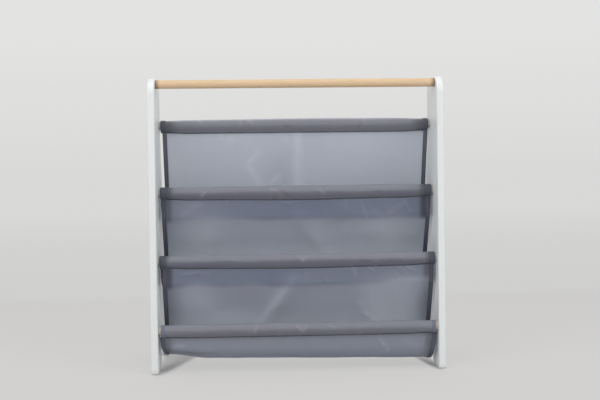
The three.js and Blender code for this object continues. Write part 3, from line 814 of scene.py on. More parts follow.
# The seam's cloth is darker than the sleeve's, as a painted shadow of the gap under each sleeve
shaded_seam_cloth = cloth_finish("shaded_seam_cloth", shade(88, 91, 103), shade(74, 77, 90))
stitch_model = model_stitch()
sleeve_thread = thread_finish("sleeve_thread", shade(92, 94, 104), shade(112, 114, 124))
sleeves = {}
for number in range(1, LOWEST_SLEEVE + 1):
    node = f"sling_sleeve_{number}"
    low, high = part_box(node)
    place = bar_places[f"sling_dowel_{number}"]
    end = high.x - SLEEVE_ENDS_SHORT[number] - END_TAPE_EDGE
    columns = round(2 * end / SLEEVE_STEP)
    x = np.linspace(-end, end, columns + 1)[None, :]
    angle = (np.arange(SLEEVE_ROUND_STEPS) / SLEEVE_ROUND_STEPS * 2 * np.pi)[:, None]
    x, angle = np.broadcast_arrays(x, angle)
    creases = sleeve_creases(number, x, angle)
    points = sleeve_points(number, x, angle, seam_puckers(number, x, angle) + creases)
    girth = np.linalg.norm(np.roll(points, -1, 0) - points, axis=2).sum(0).max()
    down = np.linspace(0, girth, SLEEVE_ROUND_STEPS + 1)
    sleeve = sew_sheet(f"{node}_sewn", points, x[0] + end, down, True)
    dark_end, fade = SLEEVE_DARK_ENDS[number]
    ragged = unrest(DARK_END_RAGGED, number, x, angle)
    # Painted shade on the lower half of the sleeve, below a ragged line
    underside_shade = UNDERSIDE_SHADE_START + unrest(UNDERSIDE_SHADE_RAGGED, number, x, angle)
    # Painted light on a thin strip under the dowel
    worn = SLEEVE_UNDERSIDE_LIGHT[number] * ease((-np.cos(angle) - UNDERSIDE_LIGHT_START) / UNDERSIDE_LIGHT_RUN)
    add_share(sleeve, "end_shade", ease((dark_end + fade + ragged - end + np.abs(x)) / fade))
    add_share(sleeve, "underside_shade", SLEEVE_UNDERSIDE_SHADE[number] * ease((underside_shade - np.cos(angle)) / UNDERSIDE_SHADE_RUN))
    # Crease ridges and the strip under the dowel take a painted light, dents a painted shade
    add_share(sleeve, "painted_light", np.clip(np.maximum(creases / SLEEVE_CREASE_FULL, worn), 0, 1))
    add_share(sleeve, "painted_shade", np.clip(-creases / SLEEVE_CREASE_FULL, 0, 1))
    apply_modifier(sleeve, "SOLIDIFY", thickness=SLEEVE_CLOTH_THICK, offset=-1)
    smooth(sleeve, degrees=50)
    sleeve.data.materials.append(sleeve_cloth)
    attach(sleeve, "root")
    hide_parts(node)

    # The folded seam below the sleeve, and the stitches on both of its faces
    half_depth = SEAM_RIDGE_HALF_DEPTHS[number]
    wander = unrest(SEAM_RIDGE_WANDER, number, x[0], 0 * x[0])
    ring = np.linspace(0, 2 * np.pi, SEAM_RIDGE_SIDES + 1)
    ridge_y = place.y + half_depth * np.sin(ring[:-1, None]) + wander
    ridge_z = place.z - SEAM_RIDGE_DROP + seam_lift(number, x[0])
    ridge_z = ridge_z + SEAM_RIDGE_HALF_HEIGHT * np.cos(ring[:-1, None])
    ridge_points = np.stack(np.broadcast_arrays(x[:1], ridge_y, ridge_z), -1)
    down = ring / ring[-1] * SEAM_RIDGE_GIRTH
    ridge = sew_sheet(f"sleeve_seam_{number}", ridge_points, x[0] + end, down, True)
    open_piece(ridge, "EDGE")
    pick(ridge, "edges", lambda e: e.is_boundary)
    bpy.ops.mesh.edge_face_add()
    close_piece()
    smooth(ridge, degrees=60)
    ridge.data.materials.append(shaded_seam_cloth)
    at = np.arange(SEAM_STITCH_INSET - end, end - SEAM_STITCH_INSET, STITCH_PITCH)
    starts, ends, outs = [], [], []
    for row_angle in (np.pi - SEAM_ANGLE, np.pi + SEAM_ANGLE):
        turned = np.full_like(at, row_angle)
        lift = seam_puckers(number, at, turned) + STITCH_RADIUS * STITCH_STAND
        starts.append(sleeve_points(number, at, turned, lift))
        ends.append(sleeve_points(number, at + STITCH_LENGTH, turned, lift))
        outward = sleeve_points(number, at, turned, lift + OUTWARD_STEP) - starts[-1]
        outs.append(outward / np.linalg.norm(outward, axis=1)[:, None])
    stitches = sew_stitches(f"sleeve_stitches_{number}", starts, ends, outs, sleeve_thread)
    for piece in (ridge, stitches):
        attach(piece, "root")
    sleeves[number] = (sleeve, girth, 2 * end, [ridge, stitches])


# Pockets: three hanging sheets of the same cloth. Each drops from its own sleeve, passes over the
# front of the pocket above, runs back and down to a heel, then forward and up to the next sleeve.
POCKET_CLOTH_THICK = 0.0009
SEAM_DROP = 0.0155
LAYER_GAP = 0.00175
POCKET_DROPS = [0.058, 0.053, 0.0662]
FLOOR_RUNS = [0.092, 0.096, 0.084]
TOE_ROUNDS = [0.014, 0.014, 0.028]
FLOOR_TILTS = [0, 0, 0.005]
FLOOR_HITCHES = [0, 0, 0.0090]
HITCH_START = 0.19
HITCH_RUN = 0.09
FRONT_WIDTHS = [0.577, 0.577, 0.581]
FRONT_PINCHES = [0.003, 0.003, 0.007]
HEEL_ROUND_RUN = 0.030
WRAP_ROUND = 0.020
WRAP_RISE = 0.004
CORNER_STEPS = 40
BACK_WIDTH = 0.572
TAPE_WIDTH = 0.0093
BACK_SPARES = [(-0.0008, 0.0030), (0, 0), (-0.0016, 0.0008)]
BACK_SHARE = 0.55
SPARE_FADE_SHARE = 0.15
PINCH_SHARE = 0.8
PINCH_SPREAD_SHARE = 0.13
SLOT_DEPTH = 0.0017
LIFT_RUN = 0.040
TILT_RUN = 0.045
CLOTH_STEP = 0.0031
RUN_STEP = 0.0030
TAPE_SHADE_REACH = 0.024
TAPE_SHADE_BLUR = 0.010
CREASE_FULL = 0.0055
CREASE_PALE = 0.75
SMALL_FADE = 0.012
SMALL_END_START = 0.002
SMALL_END_FADE = 0.008
SOFT_UNREST = (0.0007, 14, 6, 7.3, 1)
FINE_UNREST = (0.0003, 60, 30, 7.3, 2)
CREASE_UNREST = (0.5, 45, 45, 7.3, 3)
SHADE_UNREST = (0.5, 30, 30, 7.3, 4)
BAG_SHADE_RAGGED = (0.009, 13, 5, 1, 40.5)
FOLD_SPREAD = 0.026
FOLD_FADE = 0.045
# The wide folds and the narrow creases of each pocket, as (left, top, left end, top end, height) and
# for a crease its spread: the places as shares of the sheet's width and run, the rest in metres.
POCKET_FOLDS = [
    [
        (0.53, 0.04, 0.52, 0.5, 0.0028),
        (0.37, 0.10, 0.39, 0.45, 0.0036),
        (0.70, 0.30, 0.84, 0.62, 0.0024),
    ],
    [
        (0.53, 0.16, 0.64, 0.5, 0.0040),
        (0.20, 0.20, 0.12, 0.55, 0.0028),
        (0.80, 0.26, 0.86, 0.56, 0.0024),
    ],
    [
        (0.50, 0.10, 0.34, 0.45, 0.0040),
        (0.72, 0.14, 0.82, 0.5, 0.0036),
        (0.12, 0.20, 0.20, 0.5, 0.0024),
    ],
]
POCKET_CREASES = [
    [
        (0.214, 0.005, 0.226, 0.060, 0.0016, 0.0030),
        (0.262, 0.020, 0.250, 0.085, 0.0008, 0.0060),
        (0.360, 0.140, 0.319, 0.245, 0.0017, 0.0075),
        (0.319, 0.245, 0.373, 0.430, 0.0018, 0.0080),
        (0.508, 0.020, 0.513, 0.430, 0.0019, 0.0105),
        (0.412, 0.385, 0.436, 0.330, 0.0012, 0.0055),
        (0.440, 0.010, 0.470, 0.080, 0.0007, 0.0080),
        (0.640, 0.020, 0.625, 0.110, 0.0006, 0.0100),
    ],
    [
        (0.520, 0.180, 0.624, 0.470, 0.0012, 0.0150),
        (0.902, 0.030, 0.925, 0.113, 0.0014, 0.0035),
        (0.240, 0.012, 0.243, 0.030, 0.0020, 0.0022),
        (0.130, 0.030, 0.105, 0.060, 0.0012, 0.0035),
        (0.448, 0.022, 0.474, 0.034, 0.0020, 0.0022),
        (0.684, 0.010, 0.686, 0.075, 0.0014, 0.0032),
        (0.740, 0.040, 0.760, 0.150, 0.0012, 0.0045),
        (0.075, 0.120, 0.140, 0.040, 0.0012, 0.0060),
        (0.780, 0.050, 0.830, 0.130, -0.0012, 0.0050),
        (0.840, 0.130, 0.900, 0.050, 0.0012, 0.0060),
    ],
    [
        (0.480, 0.079, 0.350, 0.460, 0.0018, 0.0100),
        (0.728, 0.282, 0.752, 0.376, 0.0011, 0.0060),
        (0.752, 0.376, 0.810, 0.450, 0.0011, 0.0060),
        (0.530, 0.005, 0.532, 0.085, 0.0012, 0.0040),
        (0.070, 0.042, 0.130, 0.030, 0.0018, 0.0035),
        (0.130, 0.030, 0.170, 0.036, 0.0012, 0.0035),
        (0.672, 0.006, 0.680, 0.018, 0.0018, 0.0025),
        (0.706, 0.012, 0.710, 0.070, 0.0022, 0.0045),
        (0.762, 0.008, 0.778, 0.030, 0.0018, 0.0024),
        (0.600, 0.090, 0.612, 0.110, 0.0012, 0.0030),
        (0.850, 0.012, 0.880, 0.070, -0.0014, 0.0032),
        (0.870, 0.010, 0.890, 0.030, 0.0016, 0.0022),
        (0.900, 0.006, 0.930, 0.040, 0.0018, 0.0026),
        (0.790, 0.970, 0.815, 0.912, -0.0011, 0.0045),
        (0.800, 0.960, 0.830, 0.900, 0.0006, 0.0060),
        (0.895, 0.968, 0.937, 0.930, 0.0006, 0.0070),
        (0.962, 0.970, 0.958, 0.930, 0.0010, 0.0040),
        (0.045, 0.925, 0.075, 0.935, 0.0014, 0.0060),
        (0.010, 0.872, 0.075, 0.876, -0.0016, 0.0030),
        (0.075, 0.876, 0.170, 0.892, -0.0012, 0.0035),
    ],
]
# Wide soft patches of painted light (strength above 0) and painted shade (below 0) on the cloth, as
# (share across, share of the run, half width, half run, strength).
POCKET_PATCHES = [
    [
        (0.450, 0.32, 0.036, 0.050, -0.09),
        (0.03, 0.27, 0.045, 0.110, 0.19),
        (0.97, 0.27, 0.040, 0.110, 0.12),
        (0.30, 0.03, 0.120, 0.020, 0.15),
        (0.76, 0.06, 0.080, 0.030, 0.15),
    ],
    [
        (0.16, 0.27, 0.050, 0.035, 0.30),
        (0.84, 0.26, 0.070, 0.035, 0.34),
        (0.66, 0.14, 0.030, 0.014, -0.20),
        (0.00, 0.28, 0.020, 0.080, -0.20),
    ],
    [
        (0.12, 0.22, 0.035, 0.030, 0.24),
        (0.775, 0.29, 0.018, 0.026, 0.16),
        (0.80, 0.37, 0.020, 0.024, 0.18),
        (0.87, 0.34, 0.036, 0.055, 0.26),
        (0.86, 0.12, 0.060, 0.030, 0.36),
        (0.25, 0.38, 0.060, 0.030, 0.16),
        (0.50, 0.29, 0.220, 0.090, -0.13),
        (0.30, 0.27, 0.070, 0.040, -0.12),
        (0.00, 0.26, 0.034, 0.080, -0.50),
        (1.00, 0.28, 0.026, 0.080, -0.60),
        (0.50, 0.93, 0.900, 0.045, -0.20),
        (0.018, 0.92, 0.011, 0.040, -0.65),
        (0.982, 0.92, 0.012, 0.040, -0.65),
        (0.08, 0.878, 0.050, 0.006, -0.35),
        (0.50, 0.990, 0.900, 0.004, -0.22),
    ],
]
# A painted shade stands for the bag above shading the back of the lower two pockets down to a ragged
# line, as (x, how far this line is below the bag, strength) from the left to the right.
BAG_SHADES = {
    1: [
        (-0.230, 0.002, 0.45),
        (-0.143, 0.000, 0.75),
        (-0.057, 0.002, 0.85),
        (0.030, -0.003, 0.95),
        (0.117, -0.001, 0.80),
        (0.204, -0.001, 0.80),
        (0.252, 0.003, 0.90),
    ],
    2: [
        (-0.230, 0.002, 0.80),
        (-0.143, -0.002, 0.75),
        (-0.057, 0.006, 0.90),
        (0.030, 0.001, 0.60),
        (0.117, 0.005, 0.70),
        (0.204, -0.006, 0.60),
        (0.252, -0.010, 0.50),
    ],
}
BAG_SHADE_BLUR = 0.008
CREASE_OUTSHINES = 0.8


def near_fold(ends, spread, x, distance, length):
    """1 along a fold or crease of a pocket's sheet, falling to 0 over a spread."""
    left, top, left_end, top_end = ends
    line = (left * BACK_WIDTH, top * length, left_end * BACK_WIDTH, top_end * length)
    return near_line(line, x + BACK_WIDTH / 2, distance, spread)


def trace_run(corners, step):
    """Walks a rounded line through (y, z, round) corners. Returns its points' y and z, the way into
    the pocket at each, and their distances from the start."""
    line = [np.array(corners[0][:2])]
    for before, here, after in zip(corners, corners[1:], corners[2:]):
        corner = np.array(here[:2])
        to_before = np.array(before[:2]) - corner
        to_after = np.array(after[:2]) - corner
        to_before /= np.linalg.norm(to_before)
        to_after /= np.linalg.norm(to_after)
        half = np.arccos(np.dot(to_before, to_after)) / 2
        bisector = to_before + to_after
        centre = corner + bisector / np.linalg.norm(bisector) * here[2] / np.sin(half)
        start = corner + to_before * here[2] / np.tan(half) - centre
        sense = np.sign(to_after[0] * to_before[1] - to_after[1] * to_before[0])
        for share in np.linspace(0, 1, CORNER_STEPS):
            turn = sense * (np.pi - 2 * half) * share
            cos, sin = np.cos(turn), np.sin(turn)
            line.append(centre + np.array([
                start[0] * cos - start[1] * sin,
                start[0] * sin + start[1] * cos,
            ]))
    line.append(np.array(corners[-1][:2]))
    line = np.array(line)
    travelled = np.concatenate([[0], np.cumsum(np.linalg.norm(np.diff(line, axis=0), axis=1))])
    distance = np.linspace(0, travelled[-1], round(travelled[-1] / step) + 1)
    y = np.interp(distance, travelled, line[:, 0])
    z = np.interp(distance, travelled, line[:, 1])
    along_y, along_z = np.gradient(y), np.gradient(z)
    length = np.hypot(along_y, along_z)
    return y, z, along_z / length, -along_y / length, distance


def pocket_run(index):
    top = bar_places[f"sling_dowel_{index + 1}"]
    front = bar_places[f"sling_dowel_{index + 2}"]
    start_y = top.y if index == 0 else top.y - LAYER_GAP
    end_y = front.y if index == len(POCKET_DROPS) - 1 else front.y + LAYER_GAP
    floor_z = front.z - POCKET_DROPS[index]
    corners = [(start_y, top.z - SEAM_DROP, 0)]
    if index > 0:
        corners.append((start_y, top.z - POCKET_DROPS[index - 1] + WRAP_RISE, WRAP_ROUND))
    corners.append((front.y + FLOOR_RUNS[index], floor_z, HEEL_ROUND_RUN))
    corners.append((end_y, floor_z, TOE_ROUNDS[index]))
    corners.append((end_y, front.z - SEAM_DROP, 0))
    return trace_run(corners, RUN_STEP), floor_z


def pocket_half_width(index, share, side):
    """Half the width at shares of the run. The back of a pocket may hang a little off the middle."""
    widening = ease((share - BACK_SHARE) / (1 - BACK_SHARE))
    width = BACK_WIDTH + (FRONT_WIDTHS[index] - BACK_WIDTH) * widening
    spare = BACK_SPARES[index][side > 0] * ease((BACK_SHARE - share) / SPARE_FADE_SHARE)
    from_pinch = (share - PINCH_SHARE) / PINCH_SPREAD_SHARE
    return width / 2 + spare - FRONT_PINCHES[index] * np.exp(-(from_pinch**2))


def pocket_lift(index, x, z, floor_z, distance, length):
    """The sheet follows the seams of its sleeves up and down. A floor may hang lower to the right and
    be hitched up at its left end."""
    start_lift = seam_lift(index + 1, x) * np.clip(1 - distance / LIFT_RUN, 0, None)
    end_lift = seam_lift(index + 2, x) * np.clip(1 - (length - distance) / LIFT_RUN, 0, None)
    near_floor = np.clip(1 - (z - floor_z) / TILT_RUN, 0, None)
    hitch = FLOOR_HITCHES[index] * ease((-x - HITCH_START) / HITCH_RUN)
    tilt = hitch - FLOOR_TILTS[index] * x / (BACK_WIDTH / 2)
    return start_lift + end_lift + tilt * near_floor


def pocket_relief(index, x, distance, length):
    """How far folds, creases and small unrest stand up into the pocket."""
    wide = np.zeros_like(x)
    for *ends, rise in POCKET_FOLDS[index]:
        wide = np.maximum(wide, rise * near_fold(ends, FOLD_SPREAD, x, distance, length))
    small = unrest(SOFT_UNREST, index, x, distance) + unrest(FINE_UNREST, index, x, distance)
    uneven = 1 + unrest(CREASE_UNREST, index, x, distance)
    for *ends, rise, spread in POCKET_CREASES[index]:
        small = small + rise * uneven * near_fold(ends, spread, x, distance, length)
    to_tape = BACK_WIDTH / 2 - TAPE_WIDTH - np.abs(x)
    for to_end in (distance, length - distance):
        wide = wide * ease(to_end / FOLD_FADE)
        small = small * ease((to_end + SMALL_END_START) / SMALL_END_FADE)
    return wide * ease(to_tape / FOLD_FADE) + small * ease(to_tape / SMALL_FADE)


def pocket_shades(index, x, distance, length):
    """Painted light (above 0) or painted shade (below 0) at each place, from creases and patches."""
    paled = np.zeros_like(x)
    uneven = CREASE_PALE + unrest(SHADE_UNREST, index, x, distance)
    for *ends, rise, spread in POCKET_CREASES[index]:
        strength = np.clip(rise / CREASE_FULL, 0, 1) * uneven
        paled = np.maximum(paled, strength * near_fold(ends, spread, x, distance, length))
    for across, share, width, run, strength in POCKET_PATCHES[index]:
        to_x = (x + BACK_WIDTH / 2 - across * BACK_WIDTH) / width
        to_run = (distance - share * length) / run
        paled = paled + strength * np.exp(-(to_x**2) - to_run**2)
    return paled


POCKET_MARKS = (
    ("painted_light", shade(196, 200, 210), (1, 1, 1, 1)),
    ("painted_shade", shade(120, 122, 132), shade(120, 122, 132)),
    ("painted_bag_shade", shade(138, 146, 168), shade(138, 146, 168)),
    ("painted_tape_shade", shade(92, 93, 106), shade(92, 93, 106)),
)
pocket_cloth = cloth_finish(
    "pocket_cloth",
    shade(167, 171, 184),
    shade(157, 161, 174),
    POCKET_MARKS,
    shade(240, 243, 248),
)
pockets = {}
for index in range(len(POCKET_DROPS)):
    node = f"sling_pocket_{index + 1}"
    (y, z, in_y, in_z, distance), floor_z = pocket_run(index)
    length = distance[-1]
    columns = round(BACK_WIDTH / CLOTH_STEP)
    side_share = np.linspace(-1, 1, columns + 1)[None, :]
    left_half, right_half = (pocket_half_width(index, distance / length, side) for side in (-1, 1))
    half_width = np.where(side_share > 0, right_half[:, None], left_half[:, None]) - SLOT_DEPTH
    x = side_share * half_width
    down = np.broadcast_to(distance[:, None], x.shape)
    relief = pocket_relief(index, x, down, length)
    lift = pocket_lift(index, x, z[:, None], floor_z, distance[:, None], length)
    points = np.stack(
        [x, y[:, None] + relief * in_y[:, None], z[:, None] + lift + relief * in_z[:, None]], -1
    )
    pocket = sew_sheet(f"{node}_hung", points, side_share[0] * BACK_WIDTH / 2, distance, False)
    # Painted light along creases and in patches, painted shade in other patches
    paled = pocket_shades(index, x, down, length)
    behind = np.zeros_like(x)
    # Painted shade where the bag above hangs behind the cloth, darker still by its tape at the sides
    if index > 0:
        belly_z = bar_places[f"sling_dowel_{index + 1}"].z - POCKET_DROPS[index - 1]
        ragged = unrest(BAG_SHADE_RAGGED, index, x, down)
        shade_x, shade_drop, shade_strength = np.array(BAG_SHADES[index]).T
        above = points[..., 2] - belly_z + np.interp(x, shade_x, shade_drop) - ragged
        behind = ease((above / BAG_SHADE_BLUR + 1) / 2) * np.interp(x, shade_x, shade_strength)
        behind = behind * (down < length / 2) * (1 - CREASE_OUTSHINES * np.clip(paled, 0, 1))
    near_side = ease((TAPE_SHADE_REACH - half_width + np.abs(x)) / TAPE_SHADE_BLUR)
    add_share(pocket, "painted_light", np.clip(paled, 0, 1))
    add_share(pocket, "painted_shade", np.clip(-paled, 0, 1))
    add_share(pocket, "painted_bag_shade", behind)
    add_share(pocket, "painted_tape_shade", behind * near_side)
    apply_modifier(pocket, "SOLIDIFY", thickness=POCKET_CLOTH_THICK, offset=0)
    smooth(pocket, degrees=60)
    pocket.data.materials.append(pocket_cloth)
    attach(pocket, "root")
    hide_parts(node)
    pockets[index] = (pocket, length)


# Edge bindings: dark ribbed tape folded over both side edges of every pocket and sewn through, with
# a shorter turn of it round each end of the upper three sleeves.
TAPE_HALF = 0.0016
TAPE_SLOT_HALF = 0.0009
TAPE_EDGE = 0.0014
TAPE_LIP = 0.0002
TAPE_FOLD_STEPS = 6
RIB_PITCH = 0.0011
TAPE_STITCH_INSET = 0.0016
TAPE_STITCH_STAND = 0.2
TAPE_STITCH_START = 0.003
TAPE_STITCH_END = 0.006


def tape_finish(name, dark, light, worn):
    nodes = Nodes(bpy.data.materials.new(name))
    place = nodes.add("UVMap", uv_map="cloth")
    fuzz = nodes.noise(place, scale=2600, detail=2)
    faded = nodes.noise(place, scale=40, detail=3)
    nodes.surface(
        colour=nodes.blend(nodes.spread(faded, high=0.35), nodes.blend(fuzz, dark, light), worn),
        roughness=nodes.spread(fuzz, low=0.7, high=0.88),
        relief=bands(nodes, place, RIB_PITCH, "Y", distortion=0.2),
        strength=0.5,
        distance=0.0002,
    )
    return nodes.owner


def sew_tape(name, columns, run, finish, open_ended, degrees):
    """A tape through columns of points, one for each corner of its section. The first corner is
    joined to the last. run is the distance of the points in a column along the tape."""
    columns = columns + columns[:1]
    around = [0]
    for before, after in zip(columns, columns[1:]):
        around.append(around[-1] + np.linalg.norm(after[0] - before[0]))
    tape = sew_sheet(name, np.stack(columns, 1), np.array(around), run, False)
    open_piece(tape, "EDGE")
    bpy.ops.mesh.select_all(action="SELECT")
    bpy.ops.mesh.remove_doubles(threshold=NEAR / 100)
    if open_ended:
        pick(tape, "edges", lambda e: e.is_boundary)
        bpy.ops.mesh.edge_face_add()
    close_outward()
    smooth(tape, degrees)
    tape.data.materials.append(finish)
    return tape


edge_tape = tape_finish("ribbed_tape", shade(62, 65, 77), shade(88, 91, 105), shade(104, 105, 117))
# A lighter copy of the tape for the top pocket, as painted light where more light falls on it
top_lit_tape = tape_finish("top_lit_tape", shade(80, 83, 94), shade(106, 109, 121), shade(120, 122, 133))
tape_thread = thread_finish("tape_thread", shade(58, 61, 76), shade(84, 88, 104))
bindings = {index: [] for index in pockets}
for index in pockets:
    (y, z, in_y, in_z, distance), floor_z = pocket_run(index)
    length = distance[-1]
    for side, side_name in ((-1, "left"), (1, "right")):
        node = f"edge_binding_{side_name}_{index + 1}"
        outer = pocket_half_width(index, distance / length, side)
        inner_edge = outer - TAPE_WIDTH
        fold = np.linspace(-np.pi / 2, np.pi / 2, TAPE_FOLD_STEPS + 1)
        section = [(inner_edge, -TAPE_HALF + TAPE_LIP), (inner_edge + TAPE_LIP, -TAPE_HALF)]
        section += [(outer - TAPE_HALF * (1 - np.cos(a)), TAPE_HALF * np.sin(a)) for a in fold]
        section += [(inner_edge + TAPE_LIP, TAPE_HALF), (inner_edge, TAPE_HALF - TAPE_LIP)]
        section += [(inner_edge, TAPE_SLOT_HALF), (outer - TAPE_EDGE, TAPE_SLOT_HALF)]
        section += [(outer - TAPE_EDGE, -TAPE_SLOT_HALF), (inner_edge, -TAPE_SLOT_HALF)]
        columns = []
        for across, out in section:
            across = np.broadcast_to(across, distance.shape)
            lift = pocket_lift(index, side * across, z, floor_z, distance, length)
            columns.append(np.stack([side * across, y + out * in_y, z + lift + out * in_z], -1))
        finish = edge_tape if index else top_lit_tape
        tape = sew_tape(f"{node}_sewn", columns, distance, finish, open_ended=True, degrees=50)
        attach(tape, "root")
        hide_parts(node)

        at = np.arange(TAPE_STITCH_START, length - TAPE_STITCH_END, STITCH_PITCH)
        stitched = np.interp(at, distance, inner_edge) + TAPE_STITCH_INSET
        lift = pocket_lift(index, side * np.interp(distance, at, stitched), z, floor_z, distance, length)
        starts, ends, outs = [], [], []
        for face in (-1, 1):
            out = face * (TAPE_HALF + STITCH_RADIUS * TAPE_STITCH_STAND)
            line_y, line_z = y + out * in_y, z + lift + out * in_z
            for ahead, row in ((0, starts), (STITCH_LENGTH, ends)):
                row.append(np.stack([
                    side * stitched,
                    np.interp(at + ahead, distance, line_y),
                    np.interp(at + ahead, distance, line_z),
                ], -1))
            out_y, out_z = np.interp(at, distance, in_y), np.interp(at, distance, in_z)
            outs.append(face * np.stack([0 * at, out_y, out_z], -1))
        name = f"binding_stitches_{side_name}_{index + 1}"
        stitches = sew_stitches(name, starts, ends, outs, tape_thread)
        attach(stitches, "root")
        bindings[index] += [tape, stitches]

# The tape round a sleeve's end turns in over the cloth's edge. On the lowest sleeve it is a hem of
# the sleeve's own cloth.
END_TAPE_WIDTHS = {1: 0.0105, 2: 0.0170, 3: 0.0130, 4: 0.0085}
END_TAPE_RISE = 0.0006
END_TAPE_TURN_IN = 0.0014
END_TAPE_BEVEL = 0.0004
END_TAPE_ROUND = 0.0012
END_TAPE_SHOULDER = 0.6
END_TAPE_SUNK = 0.0002
hem_cloth = cloth_finish("hem_cloth", shade(116, 119, 138), shade(102, 105, 124))
end_tapes = {}
for number, width in END_TAPE_WIDTHS.items():
    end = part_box(f"sling_sleeve_{number}")[1].x - SLEEVE_ENDS_SHORT[number]
    section = [
        (width, -END_TAPE_SUNK),
        (width, END_TAPE_RISE / 2),
        (width - END_TAPE_BEVEL, END_TAPE_RISE),
        (END_TAPE_ROUND, END_TAPE_RISE),
        (END_TAPE_BEVEL, END_TAPE_RISE * END_TAPE_SHOULDER),
        (0, 0),
        (0, -END_TAPE_TURN_IN),
        (END_TAPE_RISE, -END_TAPE_TURN_IN),
        (END_TAPE_RISE, -END_TAPE_SUNK),
    ]
    angle = np.arange(SLEEVE_ROUND_STEPS + 1) / SLEEVE_ROUND_STEPS * 2 * np.pi
    run = np.linspace(0, sleeves[number][1], len(angle))
    for side, side_name in ((-1, "left"), (1, "right")):
        columns = []
        for inward, rise in section:
            x = np.full_like(angle, side * (end - inward))
            columns.append(sleeve_points(number, x, angle, rise))
        finish = edge_tape if number < LOWEST_SLEEVE else hem_cloth
        name = f"sleeve_end_tape_{side_name}_{number}"
        tape = sew_tape(name, columns, run, finish, open_ended=False, degrees=60)
        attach(tape, "root")
        end_tapes[number, side] = tape

for number, (sleeve, girth, cut_length, sewn_on) in sleeves.items():
    sewn_on = sewn_on + [end_tapes[number, -1], end_tapes[number, 1]]


# Stage: a pale floor that glows a little and fades into a backdrop of its colour well behind the
# shelf, though in the inner corners of the front feet only its shadow shows. Two large soft lamps in
# front, one above, one behind that lights only the cloth, a soft fill and a low camera.
FADE_Y = 1.15
FADE_HALF = 0.10
FLOOR_RADIUS = 9
BACKDROP_COLOUR = (227, 227, 226)
BACKDROP_FOOT_COLOUR = (217, 217, 216)
BACKDROP_RISE = 0.14
FLOOR_COLOUR = (214, 213, 212)
FLOOR_GLOW_COLOUR = (210, 209, 208)
FLOOR_FAR_COLOUR = (207, 207, 206)
FLOOR_GLOW = 0.72
CORNER_REACH = 0.0486
CORNER_SPREAD = 0.29
CORNER_BLUR = 0.012
CORNER_BACK = (0.06, 0.14)
RIGHT_CORNER_SHARE = 0.6
FILL_STRENGTH = 0.6
# Each lamp's place, the height it aims at, its width and height, and its watts
LAMPS = {
    "lamp_left": ((-1.7, -2.0, 1.7), 0.3, (1.3, 1.3), 18),
    "lamp_right": ((1.8, -1.9, 1.7), 0.3, (1.3, 1.3), 16),
    "lamp_above": ((0, -0.6, 2.6), 0.3, (2.0, 1.6), 13),
    "lamp_behind": ((0, 0.95, 2.1), 0.35, (1.2, 0.8), 26),
}
CAMERA_PLACE = (-0.090, -2.140, 0.408)
CAMERA_YAW = 2.71
CAMERA_PITCH = 1.42
CAMERA_ROLL = -0.74
CAMERA_LENS = 58.0
CAMERA_SENSOR = 36


def seen_rays(nodes):
    """1 for the rays that see the background itself, straight, mirrored or through glass."""
    path = nodes.tree.nodes.new("ShaderNodeLightPath").outputs
    seen = nodes.maths("MAXIMUM", path["Is Camera Ray"], path["Is Glossy Ray"])
    return nodes.maths("MAXIMUM", seen, path["Is Transmission Ray"])


def shaded_corners(nodes, across, depth):
    """1 on the floor in the inner corners of the front feet, where no soft glow reaches."""
    from_left = nodes.maths("ADD", across, board_inner_x)
    from_right = nodes.maths("SUBTRACT", board_inner_x, across)
    inward = nodes.maths("MINIMUM", from_left, nodes.maths("DIVIDE", from_right, RIGHT_CORNER_SHARE))
    reach = nodes.maths("MULTIPLY_ADD", depth, CORNER_SPREAD, CORNER_REACH)
    past = nodes.maths("SUBTRACT", reach, inward)
    near = nodes.spread(past, start=-CORNER_BLUR, end=CORNER_BLUR, curve="SMOOTHSTEP")
    inside = nodes.spread(inward, start=-CORNER_BLUR, end=0.0)
    front = nodes.spread(depth, 1.0, 0.0, *CORNER_BACK, curve="SMOOTHSTEP")
    return nodes.maths("MULTIPLY", nodes.maths("MULTIPLY", near, inside), front)


def floor_finish():
    nodes = Nodes(bpy.data.materials.new("pale_floor"))
    plain = {"Base Color": shade(*FLOOR_COLOUR), "Roughness": 0.9, "Specular IOR Level": 0.1}
    nodes.feed(nodes.shader, plain)
    place = nodes.place()
    across = nodes.add("SeparateXYZ", {0: place}, output="X")
    depth = nodes.add("SeparateXYZ", {0: place}, output="Y")
    fade_start, fade_end = FADE_Y - FADE_HALF, FADE_Y + FADE_HALF
    beyond = nodes.spread(depth, start=fade_start, end=fade_end, curve="SMOOTHSTEP")
    glowing = nodes.spread(shaded_corners(nodes, across, depth), low=FLOOR_GLOW, high=0.0)
    lit = nodes.spread(beyond, low=glowing)
    away = nodes.spread(depth, start=FADE_Y, end=FLOOR_RADIUS)
    far = nodes.blend(away, shade(*FLOOR_FAR_COLOUR), shade(*BACKDROP_FOOT_COLOUR))
    glow = nodes.blend(beyond, shade(*FLOOR_GLOW_COLOUR), far)
    seen = nodes.add("Emission", {"Color": glow, "Strength": 1.0})
    end_with(nodes, nodes.maths("MULTIPLY", lit, seen_rays(nodes)), nodes.shader.outputs[0], seen)
    return nodes.owner


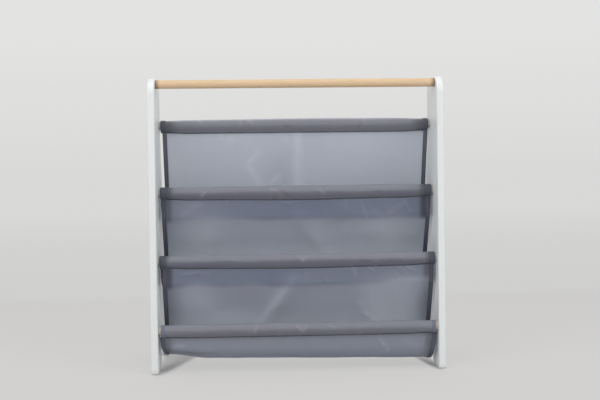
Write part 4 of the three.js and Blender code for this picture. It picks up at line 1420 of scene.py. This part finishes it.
bpy.ops.object.select_all(action="DESELECT")
bpy.ops.mesh.primitive_circle_add(vertices=96, radius=FLOOR_RADIUS, fill_type="NGON")
floor = start_piece("stage_floor")
floor.data.materials.append(floor_finish())
floor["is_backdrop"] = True

lamps = {}
for name, (place, aim_height, size, watts) in LAMPS.items():
    light = bpy.data.lights.new(name, "AREA")
    light.shape = "RECTANGLE"
    light.size, light.size_y = size
    light.energy = watts
    lamp = add_object(name, light)
    lamp.location = place
    aim = Vector((0, 0, aim_height)) - Vector(place)
    lamp.rotation_euler = aim.to_track_quat("-Z", "Y").to_euler()
    lamp.visible_camera = False
    lamps[name] = lamp
lit_from_behind = bpy.data.collections.new("lit_from_behind")
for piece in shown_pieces():
    if piece.name.startswith(("sling_pocket", "sling_sleeve", "edge_binding")):
        lit_from_behind.objects.link(piece)
lamps["lamp_behind"].light_linking.receiver_collection = lit_from_behind

world = bpy.data.worlds.new("soft_room")
nodes = Nodes(world)
fill = nodes.tree.nodes["Background"]
nodes.feed(fill, {"Color": (1, 1, 1, 1), "Strength": FILL_STRENGTH})
direction = nodes.add("TexCoord", output="Generated")
rise = nodes.add("SeparateXYZ", {0: direction}, output="Z")
rise_share = nodes.spread(rise, end=BACKDROP_RISE)
backdrop_shade = nodes.blend(rise_share, shade(*BACKDROP_FOOT_COLOUR), shade(*BACKDROP_COLOUR))
backdrop = nodes.add("Background", {"Color": backdrop_shade, "Strength": 1.0})
end_with(nodes, seen_rays(nodes), fill.outputs[0], backdrop)
bpy.context.scene.world = world

yaw, pitch, roll = (math.radians(a) for a in (CAMERA_YAW, CAMERA_PITCH, CAMERA_ROLL))
ahead = Vector((math.sin(yaw) * math.cos(pitch), math.cos(yaw) * math.cos(pitch), -math.sin(pitch)))
level_right = Vector((math.cos(yaw), -math.sin(yaw), 0))
level_up = level_right.cross(ahead)
camera_right = math.cos(roll) * level_right + math.sin(roll) * level_up
camera_up = -math.sin(roll) * level_right + math.cos(roll) * level_up
camera_data = bpy.data.cameras.new("photo_camera")
camera_data.lens = CAMERA_LENS
camera_data.sensor_width = CAMERA_SENSOR
camera = add_object("photo_camera", camera_data)
turn = Matrix((camera_right, camera_up, -ahead)).transposed()
camera.matrix_world = Matrix.Translation(CAMERA_PLACE) @ turn.to_4x4()
bpy.context.scene.camera = camera

bpy.context.scene.view_settings.view_transform = "Standard"

bpy.context.view_layer.update()
